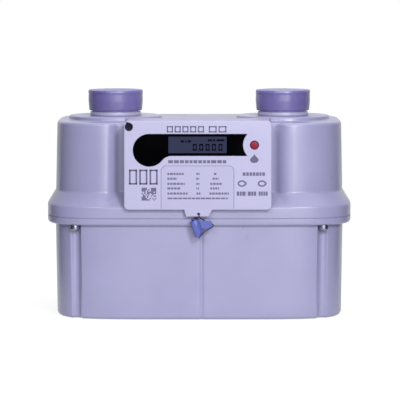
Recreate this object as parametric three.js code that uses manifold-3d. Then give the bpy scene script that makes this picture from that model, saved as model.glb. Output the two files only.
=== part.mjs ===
// A two-pipe diaphragm gas meter with an electronic index, in a two-piece die-cast case.
// Millimetres, +Z up. X runs from the inlet to the outlet, and the index faces -Y.
// The origin is on the flat base of the case, midway between the two pipe connections.
import * as THREE from "three";
import { mergeVertices } from "three/addons/utils/BufferGeometryUtils.js";
import Module from "manifold-3d";

const wasm = await Module();
wasm.setup();

// ---------------------------------------------------------------- driving dimensions

// Heights below are counted from a datum plane near the foot of the measuring unit. The group is
// lifted at the end, so that the flat base of the case lies on Z = 0.
const DATUM_Z = 9.6;

const PIPE_X = 90; // half of the 180 mm between the two connections
const GAP = 0.1; // between faces that rest on each other
const FIT = 0.3; // around a piece that sits in a cut pocket

const WALL = 3.5; // cast wall
const LOWER_N = 4.9; // superellipse exponents of the two castings' plans
const UPPER_N = 4.2;
const FLANGE = { halfX: 161.4, halfY: 98, rim: 3 };
const LOWER = {
  halfX: 153.2,
  halfY: 93,
  draft: 1.3,
  baseFillet: 4,
  baseZ: -DATUM_Z,
  flangeZ: 89.6,
  topZ: 96.8,
};
const UPPER = { z: 97.8, skirtZ: 106.3, shoulderZ: 123.2, topZ: 196, halfX: 153.1, halfY: 88.6 };
const TOWER = { draft: 1.6, fillet: 3.4 };
const BOSS = { r: 49.9, z: 200, edge: 1.6 };
const CAVITY_TOP = UPPER.topZ - WALL;

const SCREW_X = 130;
const SCREW_Y = 83.5;
const SCREW_SPOTS = [
  [-SCREW_X, -SCREW_Y],
  [SCREW_X, -SCREW_Y],
  [SCREW_X, SCREW_Y],
  [-SCREW_X, SCREW_Y],
];
const CHANNEL_R = 5.8; // room for a flange screw's head in the lower case
const SCREW = { shankR: 2.9, headR: 5, headH: 6, tipZ: 106 };
const CREASE = { x: 2.4, r: 2.2, depth: 1.2 };

const SPIGOT = { bore: 20, tail: 24, tailZ: 186, collar: 27.2, collarZ: 203.8, thread: 26.85, topZ: 221.7 };
const CAP = { r: 29.4, foot: 28.3, z: 205.2, topZ: 227.4, inner: 27.1, roof: 3 };

// The index and its cover sit a little to the left of the case's middle. Its own X counts from INDEX_X.
const INDEX_X = -1.5;
const RECESS = {
  x: -2.5,
  halfX: 80.4,
  ledgeY: -76,
  ledgeZ: 123.6,
  frontY: -130,
  // Each flank, as steps out from the recess and forward from the ledge.
  flank: [
    [0, 0],
    [4.3, 1.8],
    [8.2, 4.9],
    [15.6, 8.2],
    [22.6, 8.7],
    [24, 12],
  ],
};
const POCKET = { halfX: 76.9, backY: -45, floorZ: 112.3, corner: 0.8 };
const COVER = { halfX: 76.5, z: 107.3, topZ: 199.8, frontY: -105, backY: -99, skin: 2.5, corner: 4.5 };
const HOUSING = { halfX: 76, z: 112.7, topZ: 199.4, backY: -45.4, frontY: -98.8, wall: 2.2 };
const TAB = { top: [-14.5, 15.7], bottom: [-12.2, 11.1], z: 100.4, thick: 3 };
const WINDOW = {
  lobeX: -50.3,
  lobeZ: 169.3,
  lobeR: 16.7,
  topZ: 186,
  barZ: 163.7,
  notchX: 63,
  notchR: 16.5,
  blend: 13,
};
const BUTTON = { x: 58.6, z: 174.7, r: 4.3 };
const PLUG = { x: -71.2, z: 193.6, r: 4.1 };
const INDEX_SCREW = { x: 64, z: 160 };
const SEAL_HOLE = [0.8, 103.1]; // in the cover's tab, and the pivot of the hanging seal
const SEAL_Y = -104.6;
const SEAL_TILT = 0.3; // radians from upright
const SEAL_BODY = { r: 5, bore: 3.1, half: 8.6, x: -1, z: 88.3 };

const UNIT = { halfX: 136, z: -1, topZ: 98, frontY: -8, backY: 56, wall: 3, stepX: 111 };
const CHAMBER = { x: 70, halfX: 56, halfZ: 41, z: 48.5, r: 34 }; // diaphragm opening
const ROD = { x: 24, y: 46, r: 2.5 };
const FLAG_TIP_Y = 34;
const CRANK = { y: -20.4, r: 6.5 };
const ARM = 30;
const TABLE = { z: 98.2, topZ: 104 };
const VALVE = { r: 27, z: 142, topZ: 185.6, seatZ: 172, plungerZ: 149 };

// ---------------------------------------------------------------- solids

// A closed geometry as a solid, turned right side out.
function solid(geometry) {
  const bare = geometry.clone();
  bare.deleteAttribute("normal");
  bare.deleteAttribute("uv");
  const merged = mergeVertices(bare, 1e-4);
  const index = merged.index.array;
  const tris = [];
  for (let i = 0; i < index.length; i += 3) {
    const [a, b, c] = [index[i], index[i + 1], index[i + 2]];
    if (a !== b && b !== c && a !== c) tris.push(a, b, c);
  }
  const make = (list) =>
    new wasm.Manifold(
      new wasm.Mesh({
        numProp: 3,
        vertProperties: new Float32Array(merged.attributes.position.array),
        triVerts: new Uint32Array(list),
      }),
    );
  const made = make(tris);
  if (made.volume() > 0) return made;
  for (let i = 0; i < tris.length; i += 3) [tris[i + 1], tris[i + 2]] = [tris[i + 2], tris[i + 1]];
  return make(tris);
}

// A solid as a geometry that a mesh can hold.
function geometryOf(body) {
  const mesh = body.getMesh();
  const geometry = new THREE.BufferGeometry();
  const xyz = new Float32Array((mesh.vertProperties.length / mesh.numProp) * 3);
  for (let i = 0; i < xyz.length / 3; i++) {
    for (let k = 0; k < 3; k++) xyz[3 * i + k] = mesh.vertProperties[mesh.numProp * i + k];
  }
  geometry.setAttribute("position", new THREE.BufferAttribute(xyz, 3));
  geometry.setIndex(new THREE.BufferAttribute(new Uint32Array(mesh.triVerts), 1));
  const flat = geometry.toNonIndexed();
  flat.computeVertexNormals();
  return flat;
}

const joined = (...bodies) => bodies.reduce((all, next) => all.add(next));
const cut = (body, ...tools) => tools.reduce((left, tool) => left.subtract(tool), body);

function box([x0, x1], [y0, y1], [z0, z1]) {
  const geometry = new THREE.BoxGeometry(x1 - x0, y1 - y0, z1 - z0);
  return solid(geometry.translate((x0 + x1) / 2, (y0 + y1) / 2, (z0 + z1) / 2));
}

// A round bar along Z, or along Y when alongY is true.
function bar(r, [low, high], [across, other], segments = 24, alongY = false) {
  const geometry = new THREE.CylinderGeometry(r, r, high - low, segments);
  const middle = (low + high) / 2;
  if (alongY) return solid(geometry.translate(across, middle, other));
  return solid(geometry.rotateX(Math.PI / 2).translate(across, other, middle));
}

// A turned body about Z from [radius, z] pairs that start and end on the axis or close on themselves.
function turned(profile, segments = 32) {
  const points = profile.map(([r, z]) => new THREE.Vector2(r, z));
  return solid(new THREE.LatheGeometry(points, segments).rotateX(Math.PI / 2));
}

// A turned ring about Z: its section is the closed outline through these [radius, z] corners.
const ring = (corners, segments = 32) => turned([...corners, corners[0]], segments);

const at = (body, x, y, z) => body.translate([x, y, z]);

// An outline in the XY plane, drawn up from z0 to z1.
function prism(shape, z0, z1, curveSegments = 6) {
  const geometry = new THREE.ExtrudeGeometry(shape, { depth: z1 - z0, bevelEnabled: false, curveSegments });
  return solid(geometry.translate(0, 0, z0));
}

// An outline drawn in X and Z, filling from y0 (front) to y1.
function plate(shape, y0, y1, curveSegments = 6) {
  const geometry = new THREE.ExtrudeGeometry(shape, { depth: y1 - y0, bevelEnabled: false, curveSegments });
  return solid(geometry.rotateX(Math.PI / 2).translate(0, y1, 0));
}

function roundedRect(x0, x1, z0, z1, r) {
  const s = new THREE.Shape();
  s.moveTo(x0 + r, z0);
  s.lineTo(x1 - r, z0);
  s.absarc(x1 - r, z0 + r, r, -Math.PI / 2, 0);
  s.lineTo(x1, z1 - r);
  s.absarc(x1 - r, z1 - r, r, 0, Math.PI / 2);
  s.lineTo(x0 + r, z1);
  s.absarc(x0 + r, z1 - r, r, Math.PI / 2, Math.PI);
  s.lineTo(x0, z0 + r);
  s.absarc(x0 + r, z0 + r, r, Math.PI, 1.5 * Math.PI);
  return s;
}

// A wire or rod through points, of round section.
function wire(points, r, steps, sides = 8) {
  const path = new THREE.CatmullRomCurve3(points.map((p) => new THREE.Vector3(...p)));
  const section = new THREE.Shape();
  section.absarc(0, 0, r, 0, 2 * Math.PI);
  const options = { steps, extrudePath: path, curveSegments: sides, bevelEnabled: false };
  return solid(new THREE.ExtrudeGeometry(section, options));
}

// ---------------------------------------------------------------- the case's lofted form

const QUARTER_STEPS = 8;

// The rounded-rectangle plan of a casting: a superellipse of exponent n, as points.
function plan(n, halfX, halfY) {
  const points = [];
  for (let i = 0; i < 4 * QUARTER_STEPS; i++) {
    const t = (i / QUARTER_STEPS) * (Math.PI / 2);
    const side = (v) => Math.sign(v) * Math.abs(v) ** (2 / n);
    const [c, s] = [Math.cos(t), Math.sin(t)].map((v) => (Math.abs(v) < 1e-9 ? 0 : v));
    points.push(new THREE.Vector2(halfX * side(c), halfY * side(s)));
  }
  return points;
}

// A solid through plans stacked at [z, halfX, halfY], each of exponent n unless a level gives its own.
function loft(n, levels) {
  const outline = (own, halfX, halfY) => plan(own ?? n, halfX, halfY);
  const rings = levels.map(([z, halfX, halfY, own]) => outline(own, halfX, halfY).map((p) => [p.x, p.y, z]));
  const count = rings[0].length;
  const vertices = rings.flat(2);
  const index = [];
  for (let k = 0; k + 1 < rings.length; k++) {
    for (let i = 0; i < count; i++) {
      const [a, b] = [k * count + i, k * count + ((i + 1) % count)];
      index.push(a, b, b + count, a, b + count, a + count);
    }
  }
  const last = (rings.length - 1) * count;
  for (const [x, y, z] of THREE.ShapeUtils.triangulateShape(plan(2, 1, 1), [])) {
    index.push(x, z, y, last + x, last + y, last + z);
  }
  const geometry = new THREE.BufferGeometry();
  geometry.setAttribute("position", new THREE.Float32BufferAttribute(vertices, 3));
  geometry.setIndex(index);
  return solid(geometry);
}

// Levels of a quarter-round edge from the wall at zFrom to the flat at zTo.
function roundEdge(halfX, halfY, zFrom, zTo, steps = 4) {
  const r = Math.abs(zTo - zFrom);
  const levels = [];
  for (let i = 1; i <= steps; i++) {
    const a = (i / steps) * (Math.PI / 2);
    const inset = r * (1 - Math.cos(a));
    levels.push([zFrom + Math.sign(zTo - zFrom) * r * Math.sin(a), halfX - inset, halfY - inset]);
  }
  return levels;
}

function lowerCase() {
  const foot = { x: LOWER.halfX - LOWER.draft, y: LOWER.halfY - LOWER.draft };
  const floor = LOWER.baseZ;
  const tub = loft(LOWER_N, [
    ...roundEdge(foot.x, foot.y, floor + LOWER.baseFillet, floor).reverse(),
    [floor + LOWER.baseFillet, foot.x, foot.y],
    [LOWER.flangeZ + 1, LOWER.halfX, LOWER.halfY],
  ]);
  const flange = loft(LOWER_N, [
    ...roundEdge(FLANGE.halfX, FLANGE.halfY, LOWER.flangeZ + FLANGE.rim, LOWER.flangeZ, 3).reverse(),
    [LOWER.flangeZ + FLANGE.rim, FLANGE.halfX, FLANGE.halfY],
    [LOWER.topZ, FLANGE.halfX, FLANGE.halfY],
  ]);
  const atScrews = (r, z0, z1, sides) => SCREW_SPOTS.map((spot) => bar(r, [z0, z1], spot, sides));
  const channels = atScrews(CHANNEL_R, floor - 1, LOWER.flangeZ, 20);
  const posts = atScrews(CHANNEL_R + WALL - 0.3, floor - 1, LOWER.topZ + 1, 16);
  const holes = atScrews(SCREW.shankR + FIT, LOWER.flangeZ - 1, LOWER.topZ + 1, 10);
  const inside = loft(LOWER_N, [
    [floor + WALL, foot.x - WALL - 3, foot.y - WALL - 3],
    [floor + WALL + 3, foot.x - WALL, foot.y - WALL],
    [LOWER.topZ + 1, LOWER.halfX - WALL, LOWER.halfY - WALL],
  ]);
  // The front and the back are each pressed in two panels that meet in a shallow crease.
  const creases = [-1, 1].map((side) => {
    const y = side * (LOWER.halfY - CREASE.depth + CREASE.r);
    return bar(CREASE.r, [floor - 1, LOWER.flangeZ - 0.5], [CREASE.x, y], 12);
  });
  return cut(joined(tub, flange), cut(inside, ...posts), ...channels, ...holes, ...creases);
}

// The space cut for the index: a shallow recess between the two towers, and the deeper pocket
// behind the cover. grow widens both by the wall.
function recess(grow) {
  const y = RECESS.ledgeY + grow;
  const flank = RECESS.flank.map(([out, forward]) => [RECESS.halfX + grow + out, y - forward]);
  const edge = [flank.at(-1)[0], RECESS.frontY];
  const right = [...flank, edge];
  const left = right.map(([px, py]) => [-px, py]).reverse();
  const s = new THREE.Shape([...left, ...right].map(([px, py]) => new THREE.Vector2(px, py)));
  const side = POCKET.halfX + grow;
  const pocket = roundedRect(-side, side, RECESS.frontY, POCKET.backY + grow, POCKET.corner);
  return joined(
    at(prism(s, RECESS.ledgeZ - grow, UPPER.topZ + 10, 6), RECESS.x, 0, 0),
    at(prism(pocket, POCKET.floorZ - grow, UPPER.topZ + 10, 3), INDEX_X, 0, 0),
  );
}

function upperCase() {
  const top = { x: UPPER.halfX - TOWER.draft, y: UPPER.halfY - TOWER.draft };
  const skirt = [FLANGE.halfX, FLANGE.halfY];
  // The shoulder eases from the skirt's plan to the towers' plan.
  const shoulder = [0.12, 0.25, 0.4, 0.55, 0.7, 0.85, 1].map((t) => {
    const ease = t * t * (3 - 2 * t);
    const mix = (from, to) => from + (to - from) * ease;
    const z = UPPER.skirtZ + (UPPER.shoulderZ - UPPER.skirtZ) * t;
    return [z, mix(skirt[0], UPPER.halfX), mix(skirt[1], UPPER.halfY), mix(LOWER_N, UPPER_N)];
  });
  const shell = loft(UPPER_N, [
    [UPPER.z, ...skirt, LOWER_N],
    [UPPER.skirtZ, ...skirt, LOWER_N],
    ...shoulder,
    [UPPER.topZ - TOWER.fillet, top.x, top.y],
    ...roundEdge(top.x, top.y, UPPER.topZ - TOWER.fillet, UPPER.topZ, 3),
  ]);
  const boss = turned(
    [
      [0, UPPER.topZ - 8],
      [BOSS.r, UPPER.topZ - 8],
      [BOSS.r, BOSS.z - BOSS.edge],
      [BOSS.r - 0.5 * BOSS.edge, BOSS.z - 0.3 * BOSS.edge],
      [BOSS.r - 1.3 * BOSS.edge, BOSS.z],
      [0, BOSS.z],
    ],
    28,
  );
  const trim = loft(UPPER_N, [
    [UPPER.topZ - 9, top.x - 1, top.y - 1],
    [BOSS.z + 1, top.x - 4.5, top.y - 1],
  ]);
  const bosses = [-PIPE_X, PIPE_X].map((x) => at(boss, x, 0, 0).intersect(trim));
  const inside = loft(UPPER_N, [
    [UPPER.z - 1, UPPER.halfX - WALL, UPPER.halfY - WALL],
    [UPPER.topZ - TOWER.fillet - 2, top.x - WALL, top.y - WALL],
    [CAVITY_TOP, top.x - WALL - 3, top.y - WALL - 3],
  ]);
  const tailR = SPIGOT.tail + FIT;
  const holes = [-PIPE_X, PIPE_X].map((x) => bar(tailR, [CAVITY_TOP - 2, BOSS.z + 2], [x, 0], 28));
  const tapR = SCREW.shankR + FIT;
  const taps = SCREW_SPOTS.map((spot) => bar(tapR, [UPPER.z - 1, SCREW.tipZ + 0.6], spot, 10));
  const hollow = cut(inside, recess(WALL));
  return cut(joined(shell, ...bosses), recess(0), hollow, ...holes, ...taps);
}

function caseGasket() {
  const [z0, z1] = [LOWER.topZ + GAP, UPPER.z - GAP];
  const outer = loft(LOWER_N, [
    [z0, FLANGE.halfX - 1, FLANGE.halfY - 1],
    [z1, FLANGE.halfX - 1, FLANGE.halfY - 1],
  ]);
  const inner = loft(LOWER_N, [
    [z0 - 1, LOWER.halfX - WALL - 1, LOWER.halfY - WALL - 3],
    [z1 + 1, LOWER.halfX - WALL - 1, LOWER.halfY - WALL - 3],
  ]);
  const holes = SCREW_SPOTS.map((spot) => bar(SCREW.shankR + FIT, [z0 - 1, z1 + 1], spot, 10));
  return cut(outer, inner, ...holes);
}

// A pan-head screw pushed up through the flange from below.
function flangeScrew() {
  const seat = LOWER.flangeZ - GAP;
  return turned(
    [
      [0, seat - SCREW.headH + 2.6],
      [1.6, seat - SCREW.headH + 2.6],
      [1.6, seat - SCREW.headH],
      [SCREW.headR - 0.7, seat - SCREW.headH],
      [SCREW.headR, seat - SCREW.headH + 0.7],
      [SCREW.headR, seat],
      [SCREW.shankR, seat],
      [SCREW.shankR, SCREW.tipZ - 1],
      [SCREW.shankR - 1, SCREW.tipZ],
      [0, SCREW.tipZ],
    ],
    12,
  );
}

// ---------------------------------------------------------------- pipe connections and dust caps

// A threaded sleeve with a sealing face on top, seated on the case's boss.
function spigot() {
  const seat = BOSS.z + GAP;
  return ring(
    [
      [SPIGOT.bore, SPIGOT.tailZ],
      [SPIGOT.tail, SPIGOT.tailZ],
      [SPIGOT.tail, seat],
      [SPIGOT.collar, seat],
      [SPIGOT.collar, SPIGOT.collarZ - 0.6],
      [SPIGOT.collar - 0.6, SPIGOT.collarZ],
      [SPIGOT.thread - 1, SPIGOT.collarZ],
      [SPIGOT.thread - 1, SPIGOT.collarZ + 1.4],
      [SPIGOT.thread, SPIGOT.collarZ + 2.4],
      [SPIGOT.thread, SPIGOT.topZ - 1.2],
      [SPIGOT.thread - 1.2, SPIGOT.topZ],
      [SPIGOT.bore, SPIGOT.topZ],
    ],
    24,
  );
}

function dustCap() {
  const roof = CAP.topZ - CAP.roof;
  return turned(
    [
      [0, roof],
      [CAP.inner, roof],
      [CAP.inner, CAP.z],
      [CAP.foot - 0.7, CAP.z],
      [CAP.foot, CAP.z + 1.4],
      [CAP.r, CAP.z + 12],
      [CAP.r, CAP.topZ - 2],
      [CAP.r - 0.6, CAP.topZ - 0.6],
      [CAP.r - 2, CAP.topZ],
      [0, CAP.topZ],
    ],
    28,
  );
}

// ---------------------------------------------------------------- index

// The outline of the dark window: a round lobe, a bar, and a hollow right end.
function windowOutline(grow = 0) {
  const w = WINDOW;
  const r = w.lobeR + grow;
  const bar0 = w.barZ - grow;
  const top = w.topZ + grow;
  const blend = w.blend; // radius of the hollow corner between the lobe and the bar
  const drop = w.lobeZ - (bar0 - blend);
  const reach = Math.sqrt((r + blend) ** 2 - drop ** 2);
  const angle = Math.atan2(-drop, reach);
  const notch = w.notchR - grow;
  const half = (top - bar0) / 2 - 0.6;
  const sweep = Math.asin(half / notch);
  const middle = (top + bar0) / 2;
  const s = new THREE.Shape();
  s.moveTo(w.lobeX, top);
  s.absarc(w.lobeX, w.lobeZ, r, Math.PI / 2, 2 * Math.PI + angle);
  s.absarc(w.lobeX + reach, bar0 - blend, blend, Math.PI + angle, Math.PI / 2, true);
  s.lineTo(w.notchX - notch * Math.cos(sweep), bar0);
  s.absarc(w.notchX, middle, notch, Math.PI + sweep, Math.PI - sweep, true);
  s.lineTo(w.notchX - notch * Math.cos(sweep), top);
  return s;
}

function indexCover() {
  const { halfX, z, topZ, frontY, backY, skin, corner } = COVER;
  const outer = plate(roundedRect(-halfX, halfX, z, topZ, corner), frontY, backY, 4);
  const room = roundedRect(-halfX + 2, halfX - 2, z + 2, topZ - 2, 3);
  const inner = plate(room, frontY + skin, backY + 1, 3);
  const tab = new THREE.Shape();
  tab.moveTo(TAB.top[0], z + 1);
  tab.lineTo(TAB.bottom[0] - 0.8, TAB.z + 1);
  tab.lineTo(TAB.bottom[0], TAB.z);
  tab.lineTo(TAB.bottom[1], TAB.z);
  tab.lineTo(TAB.bottom[1] + 0.8, TAB.z + 1);
  tab.lineTo(TAB.top[1], z + 1);
  const post = bar(5.2, [frontY + 1, backY], [PLUG.x + 1.2, PLUG.z - 1.2], 16, true);
  return cut(
    joined(cut(outer, inner), plate(tab, frontY, frontY + TAB.thick), post.intersect(outer)),
    plate(windowOutline(0.2), frontY - 1, frontY + skin + 1, 7),
    bar(BUTTON.r + FIT, [frontY - 1, frontY + skin + 1], [BUTTON.x, BUTTON.z], 18, true),
    bar(PLUG.r + 0.15, [frontY - 1, frontY + 3.5], [PLUG.x, PLUG.z], 18, true),
    bar(2.1, [frontY, backY + 1], [PLUG.x, PLUG.z], 12, true),
    bar(1.4, [frontY - 1, frontY + TAB.thick + 1], SEAL_HOLE, 12, true),
  );
}

function indexHousing() {
  const { halfX, z, topZ, backY, frontY, wall } = HOUSING;
  const outer = plate(roundedRect(-halfX, halfX, z, topZ, COVER.corner), frontY, backY, 4);
  const room = roundedRect(-halfX + wall, halfX - wall, z + wall, topZ - wall, 1.5);
  const inner = plate(room, frontY - 1, backY - wall, 3);
  const post = bar(4.5, [frontY, backY - 1], [PLUG.x + 1.4, PLUG.z - 1.4], 16, true);
  const holes = [-1, 1].map((side) =>
    bar(2.2, [backY - wall - 1, backY + 1], [side * INDEX_SCREW.x, INDEX_SCREW.z], 12, true),
  );
  const pilot = bar(2.1, [frontY - 1, frontY + 16], [PLUG.x, PLUG.z], 12, true);
  return cut(joined(cut(outer, inner), post), ...holes, pilot);
}

// A screw through the back of the housing, which holds the index to the case.
function indexScrew() {
  const seat = HOUSING.backY - HOUSING.wall - GAP;
  return joined(
    bar(3.6, [seat - 2.4, seat], [0, INDEX_SCREW.z], 14, true),
    bar(1.9, [seat - 0.5, HOUSING.backY], [0, INDEX_SCREW.z], 12, true),
  );
}

function indexGasket() {
  const outer = roundedRect(-COVER.halfX + 2.3, COVER.halfX - 2.3, HOUSING.z + 0.4, HOUSING.topZ - 2, 2);
  const hole = roundedRect(-COVER.halfX + 4, COVER.halfX - 4, HOUSING.z + 2.2, HOUSING.topZ - 4, 1.5);
  const strip = cut(plate(outer, -100.2, HOUSING.frontY - GAP, 3), plate(hole, -101, -98, 3));
  return cut(strip, bar(6.4, [-102, -98], [PLUG.x, PLUG.z], 16, true));
}

function displayWindow() {
  return plate(windowOutline(0), COVER.frontY + 0.3, COVER.frontY + 2.1, 7);
}

function lcdModule() {
  return joined(
    box([-33, 32.5], [-102.2, -99.4], [164, 186.2]),
    box([-31, 30.5], [-102.6, -102.1], [166.2, 184]),
  );
}

// The board, with the tongue that holds the pulse sensor close to the crank's magnet.
function circuitBoard() {
  const board = box([-65, 65], [-98, -96.4], [118, 188]);
  const chip = box([-8, 8], [-96.5, -94.8], [140, 156]);
  const modem = box([22, 50], [-96.5, -92.4], [128, 156]);
  const valveSocket = box([-58, -44], [-96.5, -90], [124, 130]);
  const tongue = box([-7, 7], [-96.5, -50], [120, 121.4]);
  const sensor = box([-3, 3], [-55, -50.4], [121.3, 122.6]);
  const switchBody = box([BUTTON.x - 3, BUTTON.x + 3], [-100.4, -97.9], [BUTTON.z - 3, BUTTON.z + 3]);
  return joined(board, chip, modem, valveSocket, tongue, sensor, switchBody);
}

function batteryCell() {
  return joined(bar(16.4, [123, 180], [0, -66], 28), bar(4, [179, 182], [0, -66], 14));
}

function pushButton() {
  return joined(
    bar(BUTTON.r, [COVER.frontY - 0.8, -101.7], [BUTTON.x, BUTTON.z], 24, true),
    bar(BUTTON.r + 1.4, [COVER.frontY + COVER.skin + 0.1, -101.7], [BUTTON.x, BUTTON.z], 24, true),
  );
}

function coverScrew() {
  return joined(
    bar(3.2, [COVER.frontY + 2.1, COVER.frontY + 3.4], [PLUG.x, PLUG.z], 14, true),
    bar(1.75, [COVER.frontY + 3, -86], [PLUG.x, PLUG.z], 12, true),
  );
}

function sealPlug() {
  return joined(
    bar(PLUG.r, [COVER.frontY - 1, COVER.frontY + 1.9], [PLUG.x, PLUG.z], 18, true),
    box([PLUG.x - 2.6, PLUG.x + 0.2], [COVER.frontY - 1, COVER.frontY - 0.2], [PLUG.z + 2.6, PLUG.z + 5.2]),
  );
}

// ---------------------------------------------------------------- hanging wire seal

const tilted = (body) =>
  body
    .rotate([0, THREE.MathUtils.radToDeg(-SEAL_TILT), 0])
    .translate([SEAL_BODY.x, SEAL_Y, SEAL_BODY.z]);

function sealBody() {
  const { r, bore, half } = SEAL_BODY;
  const barrel = ring(
    [
      [bore, -half],
      [r - 0.5, -half],
      [r, -half + 0.5],
      [r, half - 0.5],
      [r - 0.5, half],
      [bore, half],
    ],
    16,
  );
  const tag = plate(roundedRect(0, 14.6, 87.6, 96, 1.5), SEAL_Y - 0.9, SEAL_Y + 0.9, 3);
  return joined(tilted(barrel), cut(tag, tilted(bar(bore + 0.5, [-half - 1, half + 1], [0, 0], 16))));
}

// The rotor inside the seal, turned by its slotted head to wind the wire up.
function sealRotor() {
  const { bore, half } = SEAL_BODY;
  const core = ring(
    [
      [0.9, -half + 1],
      [bore - 0.3, -half + 1],
      [bore - 0.3, half + 0.3],
      [3.4, half + 0.3],
      [3.4, half + 1.2],
      [2.2, half + 1.2],
      [1.1, half - 1.5],
    ],
    14,
  );
  return tilted(core);
}

// The stiff wire, from its free end, through the tab, and down into the rotor.
function sealWire() {
  const { half, x, z } = SEAL_BODY;
  const [sin, cos] = [Math.sin(SEAL_TILT), Math.cos(SEAL_TILT)];
  const inRotor = (along) => [x - along * sin, SEAL_Y, z + along * cos];
  const [holeX, holeZ] = SEAL_HOLE;
  const front = COVER.frontY - 1.2;
  const back = COVER.frontY + TAB.thick;
  const behindTag = SEAL_Y + 1.9;
  return wire(
    [
      [1.2, SEAL_Y - 6, 78.4],
      [5, SEAL_Y - 6, 83.6],
      [9.8, SEAL_Y - 5.4, 87],
      [14.6, SEAL_Y - 3.2, 89.6],
      [16.3, SEAL_Y, 91.2],
      [14.4, behindTag, 92.6],
      [9, behindTag + 0.3, 94.8],
      [5.8, behindTag - 0.4, 96.9],
      [3.6, SEAL_Y - 1.6, 98.2],
      [1.9, front - 0.2, 100],
      [holeX + 0.1, front - 0.1, holeZ - 0.6],
      [holeX, COVER.frontY + 1, holeZ],
      [holeX, back - 0.3, holeZ],
      [holeX, back + 1.2, holeZ - 1],
      [holeX - 0.8, back + 1, holeZ - 4],
      [holeX - 3.2, back - 1, holeZ - 4.1],
      inRotor(half + 1.3),
      inRotor(half - 2),
      inRotor(half - 4.5),
    ],
    0.5,
    44,
    3,
  );
}

// ---------------------------------------------------------------- shut-off valve under the inlet

function shutoffBody() {
  const cage = ring(
    [
      [SPIGOT.bore, VALVE.seatZ],
      [SPIGOT.bore - 3, VALVE.seatZ],
      [SPIGOT.bore - 3, VALVE.seatZ + 3],
      [SPIGOT.bore + 1, VALVE.seatZ + 3],
      [SPIGOT.bore + 1, VALVE.topZ],
      [VALVE.r, VALVE.topZ],
      [VALVE.r, VALVE.z],
      [3, VALVE.z],
      [3, VALVE.z + 3],
      [VALVE.r - 3, VALVE.z + 3],
      [VALVE.r - 3, VALVE.seatZ],
    ],
    20,
  );
  const port = [VALVE.z + 6, VALVE.seatZ - 4];
  const windows = joined(box([-12, 12], [-40, 40], port), box([-40, 40], [-12, 12], port));
  return at(cut(cage, windows), -PIPE_X, 0, 0);
}

function shutoffPlunger() {
  const z = VALVE.plungerZ;
  const body = turned(
    [
      [0, z - 3],
      [6, z - 3],
      [6, z],
      [18.5, z],
      [18.5, z + 3],
      [0, z + 3],
    ],
    24,
  );
  return at(cut(body, bar(2.2, [z - 5, z + 1], [0, 0], 12)), -PIPE_X, 0, 0);
}

function shutoffSeal() {
  const z = VALVE.plungerZ + 3 + GAP;
  return at(ring([[10, z], [19.5, z], [19.5, z + 3], [10, z + 3]], 20), -PIPE_X, 0, 0);
}

function shutoffMotor() {
  const can = bar(12.5, [112, VALVE.z - GAP], [-PIPE_X, 0], 24);
  const leadScrew = bar(1.9, [VALVE.z - 1, VALVE.plungerZ - 0.2], [-PIPE_X, 0], 12);
  return joined(can, leadScrew);
}

// ---------------------------------------------------------------- measuring unit

const chamberHole = (x, grow) =>
  roundedRect(
    x - CHAMBER.halfX - grow,
    x + CHAMBER.halfX + grow,
    CHAMBER.z - CHAMBER.halfZ - grow,
    CHAMBER.z + CHAMBER.halfZ + grow,
    CHAMBER.r + grow,
  );

// Two chambers side by side, open to the back, each with a window for its diaphragm.
function chamberBody() {
  const { halfX, z, topZ, frontY, backY, wall } = UNIT;
  const block = box([-halfX, halfX], [frontY, backY], [z, topZ]);
  const rooms = [-1, 1].flatMap((side) => {
    const x = [side * wall, side * (halfX - wall)].sort((a, b) => a - b);
    const back = box(x, [4, backY + 1], [z + wall, topZ - wall]);
    const front = box(x, [frontY - 1, -4], [z + wall, topZ - wall]);
    const hole = plate(chamberHole(side * CHAMBER.x, -4), -5, 5, 5);
    const rod = bar(ROD.r + FIT + 1.7, [z + wall, topZ + 1], [side * ROD.x, ROD.y], 16);
    const foot = bar(ROD.r + FIT, [z + 1, z + wall + 1], [side * ROD.x, ROD.y], 12);
    return [back, front, hole, rod, foot];
  });
  return cut(block, ...rooms);
}

// A chamber cover from its mouth on the body, narrowing at its step to clear the case's screw posts.
function chamberCover(mouth, step, end) {
  const { halfX, stepX, z, topZ, wall } = UNIT;
  const out = Math.sign(end - mouth);
  const slab = (x0, x1, from, to, inset) =>
    box([x0, x1], [Math.min(from, to), Math.max(from, to)], [z + inset, topZ - inset]);
  const block = joined(slab(-halfX, halfX, mouth, step, 0), slab(-stepX, stepX, step - out, end, 0));
  const rooms = [-1, 1].flatMap((side) => {
    const [a, b] = [side * wall, side * (halfX - wall)].sort((p, q) => p - q);
    const [c, d] = [side * wall, side * (stepX - wall)].sort((p, q) => p - q);
    return [slab(a, b, mouth - out, step - out * wall, wall), slab(c, d, mouth, end - out * wall, wall)];
  });
  return cut(block, ...rooms);
}

// The rolling membrane between the clamp ring and the centre plate, at mid-stroke.
function diaphragm(x) {
  const skin = (grow, y0, y1) => plate(chamberHole(x, grow), y0, y1, 3);
  const rim = cut(skin(3, -5.4, -4.1), skin(-4.5, -6, -4));
  const roll = cut(skin(-4.5, -5.4, 2.6), skin(-6, -4.2, 1.4), skin(-16, -6, 3));
  return joined(rim, roll.subtract(skin(-6, -6, -4.1)));
}

function clampRing(x) {
  const y = -5.4 - GAP;
  return cut(plate(chamberHole(x, 3.5), y - 2, y, 5), plate(chamberHole(x, -3), y - 3, y + 1, 5));
}

// The stiff centre plate, with the post that the flag pushes.
function centrePlate(x) {
  const disc = plate(chamberHole(x, -18), -4.4, 2.2, 5);
  const post = box([x - 5, x + 5], [2, 30], [CHAMBER.z - 4, CHAMBER.z + 4]);
  const fork = cut(
    box([x - 9, x + 9], [29, 39], [CHAMBER.z - 9, CHAMBER.z + 9]),
    box([x - 6.2, x + 6.2], [30.4, 37.6], [CHAMBER.z - 12, CHAMBER.z + 12]),
  );
  return joined(disc, post, fork);
}

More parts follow.
